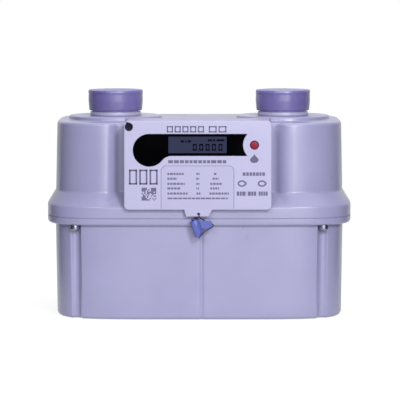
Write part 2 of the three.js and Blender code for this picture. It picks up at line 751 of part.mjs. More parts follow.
// The upright rod with its flag, which swings as the diaphragm breathes.
function flagRod(side) {
  const rodX = side * ROD.x;
  const rod = bar(ROD.r, [UNIT.z + 1.4, 127], [rodX, ROD.y], 12);
  const tipX = side * CHAMBER.x;
  const [dx, dy] = [tipX - rodX, FLAG_TIP_Y - ROD.y];
  const long = Math.hypot(dx, dy);
  const web = box([1, long], [-1.2, 1.2], [CHAMBER.z - 16, CHAMBER.z + 16]);
  const light = box([8, long + 1], [-2, 2], [CHAMBER.z - 10, CHAMBER.z + 10]);
  const turn = THREE.MathUtils.radToDeg(Math.atan2(dy, dx));
  const flag = cut(web, light).rotate([0, 0, turn]);
  const pin = bar(2.2, [CHAMBER.z - 15, CHAMBER.z + 15], [tipX, FLAG_TIP_Y], 12);
  return joined(rod, at(flag, rodX, ROD.y, 0), pin);
}

// A flat link between two pivots, with round eyes.
function link([x0, y0], [x1, y1], z, thick, width, eye) {
  const long = Math.hypot(x1 - x0, y1 - y0);
  const turn = THREE.MathUtils.radToDeg(Math.atan2(y1 - y0, x1 - x0));
  const strap = joined(
    box([0, long], [-width / 2, width / 2], [z, z + thick]),
    bar(eye, [z, z + thick], [0, 0], 14),
    bar(eye, [z, z + thick], [long, 0], 14),
  );
  return at(strap.rotate([0, 0, turn]), x0, y0, 0);
}

const armTip = (side) => [side * (ROD.x + ARM * Math.SQRT1_2), ROD.y - ARM * Math.SQRT1_2];
const CRANK_PIN = [0, CRANK.y + CRANK.r];

function flagArm(side) {
  const root = [side * ROD.x, ROD.y];
  const arm = joined(link(root, armTip(side), 122, 3, 7, 5), bar(5.5, [119, 127.5], root, 14));
  const pin = bar(2, [124, 132], armTip(side), 14);
  return cut(joined(arm, pin), bar(ROD.r + FIT, [118, 129], root, 14));
}

// Drives the crank from the arm. Its crank end stands above the pin, where the linkage is opened.
function driveLink(side) {
  const z = side < 0 ? 125.4 : 128.2;
  return cut(link(armTip(side), CRANK_PIN, z, 2.4, 6, 4.4), bar(2 + FIT, [z - 1, z + 4], armTip(side), 14));
}

function crankBracket() {
  const foot = box([-16, 16], [CRANK.y - 14, CRANK.y + 14], [TABLE.topZ + GAP, TABLE.topZ + 2.5]);
  const hub = bar(7, [TABLE.topZ + 1, 109], [0, CRANK.y], 20);
  return cut(joined(foot, hub), bar(3 + FIT, [TABLE.topZ + 1.5, 112], [0, CRANK.y], 16));
}

// Wheel, shaft, pin, and the magnet that the index senses through the case wall.
function crankWheel() {
  const wheel = bar(14, [109.4, 113], [0, CRANK.y], 32);
  const shaft = bar(3, [TABLE.topZ + 2, 110], [0, CRANK.y], 16);
  const pin = bar(2, [112, 116.6], CRANK_PIN, 14);
  const magnet = box([-4, 4], [CRANK.y - 12.5, CRANK.y - 6.5], [112, 115.8]);
  return joined(wheel, shaft, pin, magnet);
}

const VALVES = {
  left: { x: -46, y: CRANK.y, halfX: 15, halfY: 18, lug: [-34, CRANK.y], linkZ: 117 },
  right: { x: 0, y: 24, halfX: 13, halfY: 15, lug: [0, 14], linkZ: 119.4 },
};

function slideValve({ x, y, halfX, halfY, lug, linkZ }) {
  const z = TABLE.topZ + GAP;
  const hood = cut(
    box([x - halfX, x + halfX], [y - halfY, y + halfY], [z, z + 7]),
    box([x - halfX + 4, x + halfX - 4], [y - halfY + 4, y + halfY - 4], [z - 1, z + 5]),
  );
  return joined(hood, bar(3.4, [z + 6, linkZ - GAP], lug, 16), bar(1.8, [linkZ - 1, linkZ + 2], lug, 12));
}

function valveLink({ lug, linkZ }) {
  return cut(link(lug, CRANK_PIN, linkZ, 2, 5, 3.8), bar(1.8 + FIT, [linkZ - 1, linkZ + 4], lug, 14));
}

// The table that carries the valves, with three ports under each hood and the way to the outlet.
function valveTable() {
  const plateBody = box([-76, 116], [-42, 54], [TABLE.z, TABLE.topZ]);
  const portZ = [TABLE.z + 2, TABLE.topZ + 1];
  const portsLeft = [-58, -46, -34].map((x) => box([x - 3, x + 3], [CRANK.y - 12, CRANK.y + 12], portZ));
  const portsRight = [14, 24, 34].map((y) => box([-8, 8], [y - 2.5, y + 2.5], portZ));
  const through = [TABLE.z - 1, TABLE.topZ + 1];
  const rods = [-1, 1].map((side) => bar(ROD.r + FIT + 2.2, through, [side * ROD.x, ROD.y], 16));
  const channel = box([60, 104], [-14, 14], [TABLE.z + 1.5, TABLE.topZ - 1.5]);
  const riserHole = bar(17, [TABLE.z + 2, TABLE.topZ + 1], [PIPE_X, 0], 32);
  return cut(plateBody, ...portsLeft, ...portsRight, ...rods, channel, riserHole);
}

// A bush that seals a flag rod where it leaves the chambers.
function rodBush() {
  return ring(
    [
      [ROD.r + FIT, UNIT.topZ - 2.6],
      [ROD.r + 1.6, UNIT.topZ - 2.6],
      [ROD.r + 1.6, TABLE.topZ + GAP],
      [ROD.r + 4, TABLE.topZ + GAP],
      [ROD.r + 4, TABLE.topZ + 3],
      [ROD.r + FIT, TABLE.topZ + 3],
    ],
    14,
  );
}

function outletRiser() {
  const foot = TABLE.topZ + GAP;
  return at(
    ring(
      [
        [17.5, foot],
        [26, foot],
        [26, foot + 3],
        [20.5, foot + 3],
        [20.5, 180],
        [17.5, 180],
      ],
      24,
    ),
    PIPE_X,
    0,
    0,
  );
}

function riserSeal() {
  return at(ring([[17.8, 180.2], [23.5, 180.2], [23.5, 185.7], [17.8, 185.7]], 20), PIPE_X, 0, 0);
}

// A rubber rail under the measuring unit.
function unitRail() {
  return box([-8, 8], [-30, 50], [LOWER.baseZ + WALL + GAP, UNIT.z - GAP]);
}

// ---------------------------------------------------------------- materials and assembly

function material(color, roughness, metalness = 0) {
  return new THREE.MeshStandardMaterial({ color, roughness, metalness });
}

const M = {
  paint: material(0xb0b1d0, 0.45, 0.1),
  cap: material(0x8883b9, 0.4),
  cover: material(0xcfccee, 0.5),
  black: material(0x08090f, 0.12),
  display: material(0x353c51, 0.2),
  red: material(0x921c3a, 0.4),
  sealBlue: material(0x525da8, 0.15),
  steel: material(0xb8bac0, 0.3, 0.9),
  board: material(0x1f5a3a, 0.5),
  cell: material(0x2e6f9a, 0.4),
  rubber: material(0x1b1b1d, 0.8),
  leather: material(0x8a6a45, 0.85),
  moulding: material(0xd8d5c8, 0.55),
  brass: material(0xb89347, 0.35, 0.9),
};

const meter = new THREE.Group();
meter.position.z = DATUM_Z;
const index = new THREE.Group();
index.position.x = INDEX_X;
meter.add(index);

function add(name, body, look, position = [0, 0, 0], parent = meter) {
  const mesh = new THREE.Mesh(geometryOf(body), look);
  mesh.name = name;
  mesh.position.set(...position);
  parent.add(mesh);
}

const addToIndex = (name, body, look, position) => add(name, body, look, position, index);

add("upper_case", upperCase(), M.paint);
add("lower_case", lowerCase(), M.paint);
add("case_gasket", caseGasket(), M.rubber);
SCREW_SPOTS.forEach(([x, y], i) => add(`flange_screw_${i + 1}`, flangeScrew(), M.steel, [x, y, 0]));

for (const [name, x] of [["inlet", -PIPE_X], ["outlet", PIPE_X]]) {
  add(`${name}_connection`, spigot(), M.paint, [x, 0, 0]);
  add(`${name}_cap`, dustCap(), M.cap, [x, 0, 0]);
}

addToIndex("index_housing", indexHousing(), M.cover);
addToIndex("index_cover", indexCover(), M.cover);
addToIndex("index_gasket", indexGasket(), M.rubber);
addToIndex("index_screw_left", indexScrew(), M.steel, [-INDEX_SCREW.x, 0, 0]);
addToIndex("index_screw_right", indexScrew(), M.steel, [INDEX_SCREW.x, 0, 0]);
addToIndex("display_window", displayWindow(), M.black);
addToIndex("lcd_module", lcdModule(), M.display);
addToIndex("circuit_board", circuitBoard(), M.board);
addToIndex("battery_cell", batteryCell(), M.cell, [-20, 0, 0]);
addToIndex("push_button", pushButton(), M.red);
addToIndex("cover_screw", coverScrew(), M.steel);
addToIndex("cover_seal_plug", sealPlug(), M.black);
addToIndex("seal_body", sealBody(), M.sealBlue);
addToIndex("seal_rotor", sealRotor(), M.sealBlue);
addToIndex("seal_wire", sealWire(), M.steel);

add("shutoff_body", shutoffBody(), M.moulding);
add("shutoff_motor", shutoffMotor(), M.steel);
add("shutoff_plunger", shutoffPlunger(), M.moulding);
add("shutoff_seal", shutoffSeal(), M.rubber);

add("chamber_body", chamberBody(), M.moulding);
add("front_chamber_cover", chamberCover(UNIT.frontY - GAP, -56, -78), M.moulding);
add("rear_chamber_cover", chamberCover(UNIT.backY + GAP, 64, 78), M.moulding);
add("valve_table", valveTable(), M.moulding);
add("outlet_riser", outletRiser(), M.moulding);
add("riser_seal", riserSeal(), M.rubber);
add("crank_bracket", crankBracket(), M.moulding);
add("crank_wheel", crankWheel(), M.brass);

for (const [name, side] of [["left", -1], ["right", 1]]) {
  const x = side * CHAMBER.x;
  add(`unit_rail_${name}`, unitRail(), M.rubber, [side * 105, 0, 0]);
  add(`rod_bush_${name}`, rodBush(), M.brass, [side * ROD.x, ROD.y, 0]);
  add(`diaphragm_${name}`, diaphragm(x), M.leather);
  add(`diaphragm_ring_${name}`, clampRing(x), M.moulding);
  add(`diaphragm_plate_${name}`, centrePlate(x), M.steel);
  add(`flag_rod_${name}`, flagRod(side), M.steel);
  add(`flag_arm_${name}`, flagArm(side), M.brass);
  add(`drive_link_${name}`, driveLink(side), M.steel);
  add(`slide_valve_${name}`, slideValve(VALVES[name]), M.black);
  add(`valve_link_${name}`, valveLink(VALVES[name]), M.steel);
}

export default meter;
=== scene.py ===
"""Looks of the two-pipe gas meter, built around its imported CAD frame.

Sizes below are in millimetres in the frame's axes, with the index facing -Y, and become metres in
mesh_object().
"""

import math

import bmesh
import bpy
import numpy as np
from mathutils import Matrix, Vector


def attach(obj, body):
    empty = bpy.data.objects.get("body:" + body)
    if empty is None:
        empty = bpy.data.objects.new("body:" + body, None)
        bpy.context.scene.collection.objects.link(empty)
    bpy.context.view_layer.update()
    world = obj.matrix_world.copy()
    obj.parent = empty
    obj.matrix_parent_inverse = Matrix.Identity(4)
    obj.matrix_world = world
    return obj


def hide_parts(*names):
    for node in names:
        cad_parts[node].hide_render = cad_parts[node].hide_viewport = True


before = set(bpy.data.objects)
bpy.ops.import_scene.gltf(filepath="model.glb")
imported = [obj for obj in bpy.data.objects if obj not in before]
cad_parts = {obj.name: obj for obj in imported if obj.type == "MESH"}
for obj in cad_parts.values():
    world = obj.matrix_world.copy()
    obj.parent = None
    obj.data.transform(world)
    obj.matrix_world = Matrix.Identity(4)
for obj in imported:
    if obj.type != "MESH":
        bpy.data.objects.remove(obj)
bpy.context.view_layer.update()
MM = 0.001
TAU = 2 * math.pi

# ---------------------------------------------------------------- sizes

# Heights count from a datum 9.6 mm above the flat base, and the index's X from its own middle.
# mesh_object() adds origin to every point.
origin = np.array([0.0, 0.0, 9.6])
INDEX_X = -1.5

PIPE_X = 90.0
FLANGE = (161.4, 98.0)
UPPER_FOOT = (153.1, 88.6)
UPPER_TOP = (151.5, 87.0)
LOWER_TOP = (153.2, 93.0)
LOWER_FOOT = (151.9, 92.0)
LOWER_N = 4.9  # superellipse exponents of the two castings' plans
UPPER_N = 4.2
WALL = 3.5
FLOOR_Z = -9.6
CASE_TOP = 196.0
BOSS_Z = 200.0
SHOULDER = (123.2, 106.3)
PARTING = (96.8, 97.8)  # the lower case ends and the upper case starts here, with the gasket between
# Height and inset of the rings that end each case at the parting in a crisp small chamfer.
PARTING_EDGE = ((0.6, 0), (0.2, 0), (0.05, 0.06), (0.0, 0.2))
FLANGE_Z = 89.6
SCREWS = [(-130, -83.5), (130, -83.5), (130, 83.5), (-130, 83.5)]
CHANNEL_R = 5.8
CREASE_X = 2.4
RECESS_X = -2.5
RECESS_REACH = 103.0  # from RECESS_X to where the front wall starts to turn in
RECESS_DEPTH = 12.0
LEDGE_Y = -76.0
COVER = {"x": 76.5, "z0": 107.3, "z1": 199.8, "front": -105.0, "back": -99.0}
BUTTON = (58.6, 174.7)
PLUG_SPOT = (-71.2, 193.6)
SEAL_HOLE = (0.8, 103.1)
LCD_FACE = -104.625
WINDOW = {"lobe": (-50.3, 169.3), "lobe_r": 16.7, "bar": (163.7, 186.0), "blend": 13.0,
          "notch_x": 63.0, "notch_r": 16.5, "tip_r": 0.7}


# ---------------------------------------------------------------- meshes


def mesh_object(name, verts, faces):
    """A mesh from points in millimetres, with its faces turned outward."""
    mesh = bpy.data.meshes.new(name)
    mesh.from_pydata(((np.asarray(verts, float) + origin) * MM).tolist(), [], faces)
    bm = bmesh.new()
    bm.from_mesh(mesh)
    bmesh.ops.remove_doubles(bm, verts=bm.verts, dist=1e-7)
    bmesh.ops.recalc_face_normals(bm, faces=bm.faces)
    bm.to_mesh(mesh)
    bm.free()
    obj = bpy.data.objects.new(name, mesh)
    bpy.context.scene.collection.objects.link(obj)
    return obj


def loft(name, rings, around=False):
    """A closed body through rings of equal count; around joins the last ring to the first."""
    n, k = len(rings[0]), len(rings)
    faces = []
    for j in range(k if around else k - 1):
        a, b = j * n, ((j + 1) % k) * n
        for i in range(n):
            i2 = (i + 1) % n
            faces.append((a + i, a + i2, b + i2, b + i))
    if not around:
        faces.append(tuple(range(n)))
        faces.append(tuple((k - 1) * n + i for i in range(n)))
    return mesh_object(name, np.concatenate(rings), faces)


def rounded(points, radii, closed=False, steps=5):
    """A polyline whose corners are arcs. radii is one radius, or one per point."""
    count = len(points)
    pts = [np.array(p, float) for p in points]
    radii = radii if hasattr(radii, "__len__") else [radii] * count
    out = []
    for i in range(count):
        p, r = pts[i], radii[i]
        if r <= 0 or (not closed and i in (0, count - 1)):
            out.append(p)
            continue
        a, b = pts[i - 1] - p, pts[(i + 1) % count] - p
        la, lb = np.linalg.norm(a), np.linalg.norm(b)
        a, b = a / la, b / lb
        half = math.acos(max(-1, min(1, float(a @ b)))) / 2
        reach = min(r / math.tan(half), 0.49 * la, 0.49 * lb)
        r = reach * math.tan(half)
        centre = p + (a + b) / np.linalg.norm(a + b) * (r / math.sin(half))
        u, v = p + a * reach - centre, p + b * reach - centre
        sweep = math.pi - 2 * half
        for k in range(steps + 1):
            t = k / steps
            w = (math.sin((1 - t) * sweep) * u + math.sin(t * sweep) * v) / math.sin(sweep)
            out.append(centre + w)
    return np.array(out)


def lathe(name, profile, centre=(0, 0, 0), segments=96, axis="Z"):
    """A turned body from (radius, height) points that end on the axis, or close on themselves."""
    profile = [tuple(p) for p in profile]
    on_axis = profile[0][0] == 0 and profile[-1][0] == 0
    verts, faces, rows = [], [], []
    for r, h in profile:
        start = len(verts)
        if r == 0:
            verts.append((0, 0, h))
            rows.append([start] * segments)
            continue
        for i in range(segments):
            a = TAU * i / segments
            verts.append((r * math.cos(a), r * math.sin(a), h))
        rows.append(list(range(start, start + segments)))
    count = len(rows)
    for j in range(count - 1 if on_axis else count):
        lo, hi = rows[j], rows[(j + 1) % count]
        for i in range(segments):
            quad = [lo[i], lo[(i + 1) % segments], hi[(i + 1) % segments], hi[i]]
            face = tuple(dict.fromkeys(quad))
            if len(face) > 2:
                faces.append(face)
    v = np.array(verts)
    if axis == "Y":
        v = v[:, [0, 2, 1]]
    return mesh_object(name, v + np.array(centre, float), faces)


def offset(outline, inset):
    """A closed 2D outline moved inward by inset. The outline runs anticlockwise."""
    ahead = np.roll(outline, -1, axis=0) - outline
    behind = outline - np.roll(outline, 1, axis=0)
    d = ahead / np.maximum(np.linalg.norm(ahead, axis=1, keepdims=True), 1e-9)
    d = d + behind / np.maximum(np.linalg.norm(behind, axis=1, keepdims=True), 1e-9)
    d /= np.maximum(np.linalg.norm(d, axis=1, keepdims=True), 1e-9)
    return outline + np.column_stack([-d[:, 1], d[:, 0]]) * inset


def anticlockwise(outline):
    x, y = outline[:, 0], outline[:, 1]
    area = float(np.sum(x * np.roll(y, -1) - np.roll(x, -1) * y))
    return outline if area > 0 else outline[::-1]


def slab(name, outline, levels):
    """A plate in X and Z from an outline, with (y, inset) levels from front to back."""
    outline = anticlockwise(np.asarray(outline, float))
    rings = []
    for y, inset in levels:
        o = offset(outline, inset)
        rings.append(np.column_stack([o[:, 0], np.full(len(o), y), o[:, 1]]))
    return loft(name, rings)


def edge(y0, y1, r, steps=4):
    """Levels of a plate from y0 to y1 with its front edge rounded by r."""
    levels = [(y0 + r * (1 - math.cos(k / steps * math.pi / 2)), r * (1 - math.sin(k / steps * math.pi / 2)))
              for k in range(steps + 1)]
    return levels + [(y1, 0)]


def apply_modifiers(obj):
    deps = bpy.context.evaluated_depsgraph_get()
    mesh = bpy.data.meshes.new_from_object(obj.evaluated_get(deps))
    old = obj.data
    obj.modifiers.clear()
    obj.data = mesh
    bpy.data.meshes.remove(old)


def boolean(obj, tool, operation):
    mod = obj.modifiers.new("cut", "BOOLEAN")
    mod.operation = operation
    mod.solver = "EXACT"
    mod.object = tool
    apply_modifiers(obj)
    mesh = tool.data
    bpy.data.objects.remove(tool)
    bpy.data.meshes.remove(mesh)


def cut(obj, *tools):
    for tool in tools:
        boolean(obj, tool, "DIFFERENCE")


def join(obj, *tools):
    for tool in tools:
        boolean(obj, tool, "UNION")


def block(name, x, y, z):
    """A box between pairs of x, y and z."""
    corners = [(x[0], z[0]), (x[1], z[0]), (x[1], z[1]), (x[0], z[1])]
    return slab(name, corners, [(y[0], 0), (y[1], 0)])


def smooth(obj, angle):
    obj.data.shade_smooth()
    obj.data.set_sharp_from_angle(angle=math.radians(angle))


def merged(name, parts):
    """Several separate bodies as one object."""
    bm = bmesh.new()
    for part in parts:
        bm.from_mesh(part.data)
    mesh = bpy.data.meshes.new(name)
    bm.to_mesh(mesh)
    bm.free()
    for part in parts:
        old = part.data
        bpy.data.objects.remove(part)
        bpy.data.meshes.remove(old)
    obj = bpy.data.objects.new(name, mesh)
    bpy.context.scene.collection.objects.link(obj)
    return obj


# ---------------------------------------------------------------- materials


def linear(r, g, b):
    """A display colour, 0 to 255, as linear values."""
    out = []
    for v in (r, g, b):
        v /= 255
        out.append(v / 12.92 if v <= 0.04045 else ((v + 0.055) / 1.055) ** 2.4)
    return tuple(out) + (1.0,)


def finish(name, colour, rough, metal=0.0, mottle=0.04, grain=(900, 0.02), wave=(60, 0.0), spread=0.06,
           coat=0.0, transmission=0.0, specular=0.5, glow=0.0):
    """A procedural material: colour mottling, uneven roughness, fine grain and slow waves in the surface."""
    mat = bpy.data.materials.new(name)
    mat.use_nodes = True
    nodes, links = mat.node_tree.nodes, mat.node_tree.links
    shader = nodes["Principled BSDF"]
    shader.inputs["Metallic"].default_value = metal
    shader.inputs["Coat Weight"].default_value = coat
    shader.inputs["Coat Roughness"].default_value = 0.08
    shader.inputs["Transmission Weight"].default_value = transmission
    shader.inputs["Subsurface Weight"].default_value = glow
    shader.inputs["Subsurface Scale"].default_value = 0.01
    shader.inputs["Subsurface Radius"].default_value = (0.8, 0.8, 1.0)
    shader.inputs["Specular IOR Level"].default_value = specular
    place = nodes.new("ShaderNodeTexCoord")

    def noise(scale, detail):
        node = nodes.new("ShaderNodeTexNoise")
        node.inputs["Scale"].default_value = scale
        node.inputs["Detail"].default_value = detail
        node.inputs["Roughness"].default_value = 0.55
        links.new(place.outputs["Object"], node.inputs["Vector"])
        return node.outputs["Fac"]

    def spread_between(value, low, high):
        node = nodes.new("ShaderNodeMapRange")
        node.inputs["To Min"].default_value = low
        node.inputs["To Max"].default_value = high
        node.inputs["From Min"].default_value = 0.3
        node.inputs["From Max"].default_value = 0.7
        links.new(value, node.inputs["Value"])
        return node.outputs["Result"]

    base = np.array(colour[:3])
    mix = nodes.new("ShaderNodeMix")
    mix.data_type = "RGBA"
    mix.inputs["A"].default_value = tuple(base * (1 - mottle)) + (1,)
    mix.inputs["B"].default_value = tuple(np.minimum(base * (1 + mottle), 1)) + (1,)
    links.new(spread_between(noise(35, 4), 0, 1), mix.inputs["Factor"])
    links.new(mix.outputs["Result"], shader.inputs["Base Color"])
    links.new(spread_between(noise(18, 3), rough - spread, rough + spread), shader.inputs["Roughness"])
    last = None
    for scale, height in (wave, grain):
        if not height:
            continue
        bump = nodes.new("ShaderNodeBump")
        bump.inputs["Strength"].default_value = 1.0
        bump.inputs["Distance"].default_value = height * MM
        links.new(noise(scale, 2), bump.inputs["Height"])
        if last:
            links.new(last, bump.inputs["Normal"])
        last = bump.outputs["Normal"]
    if last:
        links.new(last, shader.inputs["Normal"])
    return mat


PAINT = finish("case_paint", (0.19, 0.186, 0.305, 1), 0.33, mottle=0.02, grain=(1300, 0.003),
               wave=(260, 0.012))
# The sleeve takes the case paint made lighter: painted light that offsets the shade the cap casts on the neck.
SLEEVE_PAINT_LIGHTENED = finish("sleeve_paint_lightened", (0.26, 0.25, 0.39, 1), 0.35, mottle=0.02, grain=(1300, 0.012))
CAP = finish("cap_plastic", (0.105, 0.092, 0.24, 1), 0.36, mottle=0.03, grain=(1500, 0.01),
             wave=(120, 0.03), glow=0.5)
MOULDED = finish("cover_plastic", (0.262, 0.256, 0.38, 1), 0.5, mottle=0.012, grain=(1800, 0.012),
                 specular=0.35)
PRINT = finish("print_ink", (0.07, 0.066, 0.12, 1), 0.6, mottle=0.1, grain=(2500, 0.005), specular=0.2)
FINE = finish("fine_ink", (0.085, 0.08, 0.14, 1), 0.6, mottle=0.08, grain=(2500, 0.005), specular=0.2)
PANEL = finish("table_panel", (0.248, 0.242, 0.362, 1), 0.5, mottle=0.012, grain=(1800, 0.01),
               specular=0.35)
SEAM = finish("painted_gasket", (0.16, 0.16, 0.25, 1), 0.6, mottle=0.1, grain=(1800, 0.03), specular=0.3)
BLACK = finish("window_black", (0.0006, 0.0006, 0.001, 1), 0.25, mottle=0.2, spread=0.03,
               grain=(300, 0.001), specular=0.002)
LCD = finish("lcd_glass", (0.015, 0.018, 0.04, 1), 0.25, mottle=0.08, spread=0.03, grain=(300, 0.001),
             specular=0.05)
SEGMENT = finish("lcd_segment", (0.001, 0.001, 0.006, 1), 0.5, mottle=0.1, grain=(900, 0.001),
                 specular=0.02)
RED = finish("button_red", (0.14, 0.004, 0.02, 1), 0.45, mottle=0.05, grain=(1500, 0.01), specular=0.15)
PLUG = finish("seal_plug_black", (0.002, 0.002, 0.01, 1), 0.4, mottle=0.15, grain=(1500, 0.012),
              specular=0.08)
CLEAR = finish("seal_blue_clear", (0.1, 0.125, 0.42, 1), 0.16, mottle=0.1, grain=(700, 0.02),
               transmission=0.45, specular=0.4)
ROTOR = finish("seal_rotor_blue", (0.03, 0.035, 0.22, 1), 0.25, mottle=0.06, grain=(900, 0.01),
               specular=0.3)
WIRE = finish("seal_wire_steel", (0.008, 0.009, 0.035, 1), 0.4, metal=0.3, mottle=0.2,
              grain=(2500, 0.02), specular=0.3)
STEEL = finish("zinc_steel", linear(140, 140, 158), 0.3, metal=0.95, mottle=0.1, grain=(1600, 0.015))
BRASS = finish("machined_brass", linear(190, 158, 96), 0.3, metal=0.95, mottle=0.08, grain=(1600, 0.01))
RUBBER = finish("black_rubber", linear(38, 38, 42), 0.8, mottle=0.2, grain=(1800, 0.03))
LEATHER = finish("rubbered_cloth", linear(128, 96, 62), 0.78, mottle=0.15, grain=(2600, 0.05),
                 wave=(500, 0.05))
MOULDING = finish("inner_moulding", linear(206, 202, 188), 0.5, mottle=0.03, grain=(1400, 0.02))
PHENOLIC = finish("valve_black", linear(34, 32, 32), 0.42, mottle=0.2, grain=(1400, 0.02))
BOARD = finish("board_green", linear(30, 92, 60), 0.36, mottle=0.15, grain=(700, 0.02), coat=0.3)
CELL = finish("cell_sleeve", linear(44, 104, 150), 0.3, mottle=0.05, grain=(300, 0.01), coat=0.4)


def place(obj, body, node, mat, slot, angle=32):
    """Smooths a piece and gives it its finish and its body; unless it is a mere marking, hides the CAD node it
    stands for.
    """
    smooth(obj, angle)
    obj.data.materials.clear()
    obj.data.materials.append(mat)
    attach(obj, body)
    if node:
        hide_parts(node)


# ---------------------------------------------------------------- case outlines


def superellipse(phi, half_x, half_y, n):
    c, s = np.cos(phi), np.sin(phi)
    r = (np.abs(c / half_x) ** n + np.abs(s / half_y) ** n) ** (-1 / n)
    return np.column_stack([r * c, r * s])


def recess_share(x):
    """How far the front wall has gone back to the ledge: a wide bend, a leaning flank and a small hollow."""
    lean = math.radians(46)
    convex, hollow = 20.0, 6.0
    gain_a = convex * (1 - math.cos(lean))
    gain_b, run_b = hollow * (1 - math.cos(lean)), hollow * math.sin(lean)
    run_flank = (RECESS_DEPTH - gain_a - gain_b) / math.tan(lean)
    xs, ys = [], []
    for k in range(17):
        a = lean * k / 16
        xs.append(RECESS_REACH - convex * math.sin(a))
        ys.append(convex * (1 - math.cos(a)))
    x0 = xs[-1] - run_flank
    for k in range(13):
        a = lean * (1 - k / 12)
        xs.append(x0 - run_b + hollow * math.sin(a))
        ys.append(RECESS_DEPTH - hollow * (1 - math.cos(a)))
    inwards = np.interp(np.abs(x - RECESS_X), xs[::-1], ys[::-1], left=RECESS_DEPTH, right=0.0)
    return inwards / RECESS_DEPTH


def resample(outline_of, count):
    """Angles at which an outline's points are evenly spaced along it."""
    phi = np.linspace(0, TAU, 40001)
    points = outline_of(phi)
    run = np.concatenate([[0], np.cumsum(np.linalg.norm(np.diff(points, axis=0), axis=1))])
    return np.interp(np.linspace(0, run[-1], count, endpoint=False), run, phi)


def tower_outline(phi, half_x, half_y):
    p = superellipse(phi, half_x, half_y, UPPER_N)
    front = p[:, 1] < -40
    share = recess_share(p[front, 0])
    p[front, 1] = p[front, 1] * (1 - share) + LEDGE_Y * share
    return p


def between(a, b, t):
    return a + (b - a) * t


def level(outline, z):
    return np.column_stack([outline, np.full(len(outline), z)])


def foot_fillet(outline, r, z, steps=8):
    """Levels of a lower edge rounded by r, from height z upward."""
    angles = [k / (steps - 1) * math.pi / 2 for k in range(steps)]
    return [level(offset(outline, r * (1 - math.sin(a))), z + r * (1 - math.cos(a))) for a in angles]


def upper_case():
    phi = resample(lambda p: tower_outline(p, *UPPER_FOOT), 520)
    skirt = superellipse(phi, *FLANGE, LOWER_N)
    rings = []
    fillet = 3.4
    top = tower_outline(phi, *UPPER_TOP)
    for k in range(9):
        a = (1 - k / 8) * math.pi / 2
        rings.append(level(offset(top, fillet * (1 - math.cos(a))), CASE_TOP - fillet + fillet * math.sin(a)))
    foot = tower_outline(phi, *UPPER_FOOT)
    for k in range(1, 7):
        rings.append(level(between(top, foot, k / 6), between(CASE_TOP - fillet, SHOULDER[0] + 4, k / 6)))
    # Between towers and skirt: a hollow fillet, a straight slope and a round edge.
    high, low = SHOULDER
    width = 9  # of the shoulder, in section
    slope = [(0, high + 3), (0, high), (width, low + 3), (width, low - 3)]
    for out, z in rounded(slope, [0, 4.5, 4.5, 0], steps=8):
        rings.append(level(between(foot, skirt, out / width), z))
    rings.append(level(skirt, PARTING[1] + 3))
    for z, inset in PARTING_EDGE:
        rings.append(level(offset(skirt, inset), PARTING[1] + z))
    shell = loft("upper_case_shell", rings)

    # The round boss under each connection flares into the case top and has a rounded upper edge.
    boss, edge_r = 49.9, 1.7
    profile = [(0, 190), (51.4, 190), (51.4, 195.9), (50.9, 196.0), (50.2, 196.4), (boss, 197.2)]
    profile.append((boss, 198.3))
    for a in np.linspace(0.3, 1.57, 5):
        profile.append((boss - edge_r * (1 - math.cos(a)), 198.3 + edge_r * math.sin(a)))
    profile.append((0, BOSS_Z))
    for x in (-PIPE_X, PIPE_X):
        join(shell, lathe("boss", profile, (x, 0, 0), 144))

    inner = tower_outline(resample(lambda p: tower_outline(p, *UPPER_FOOT), 200), *UPPER_FOOT)
    depths = ((96, WALL), (190.6, WALL + 1.6), (192.5, WALL + 4.6))
    hollow = loft("hollow", [level(offset(inner, i), z) for z, i in depths])
    mid, half = INDEX_X, 76.9  # of the pocket that takes the index
    walled = half + WALL
    cut(hollow, block("pocket_wall", (mid - walled, mid + walled), (-130, WALL - 45), (112.3 - WALL, 210)))
    cut(shell, hollow, block("pocket", (mid - half, mid + half), (-130, -45), (112.3, 210)))
    for x in (-PIPE_X, PIPE_X):
        cut(shell, lathe("hole", [(0, 188), (24.3, 188), (24.3, 202), (0, 202)], (x, 0, 0), 96))
    for x, y in SCREWS:
        cut(shell, lathe("tap", [(0, 94), (3.2, 94), (3.2, 106.6), (0, 106.6)], (x, y, 0), 24))
    place(shell, "case", "upper_case", PAINT, "case_paint")


def tub_outline(phi, half_x, half_y):
    """The lower case's plan, with a round channel under each screw and a crease in its front and back."""
    p = superellipse(phi, half_x, half_y, LOWER_N)
    x, y = p[:, 0], np.abs(p[:, 1])
    y = y - 1.2 * np.exp(-(((x - CREASE_X) / 1.7) ** 2)) * (y > 60)
    aside = np.abs(np.abs(x) - abs(SCREWS[0][0]))
    round_part = np.sqrt(np.maximum(CHANNEL_R**2 - aside**2, 0))
    wall = abs(SCREWS[0][1]) - round_part + 6 * np.maximum(aside - CHANNEL_R, 0)
    sharp = 2.4  # the two surfaces meet in a small round lip
    lipped = y - np.log1p(np.exp(np.clip(sharp * (y - wall), -60, 60))) / sharp
    out = p.copy()
    out[:, 1] = np.sign(p[:, 1]) * np.where(y > 60, lipped, y)
    return out


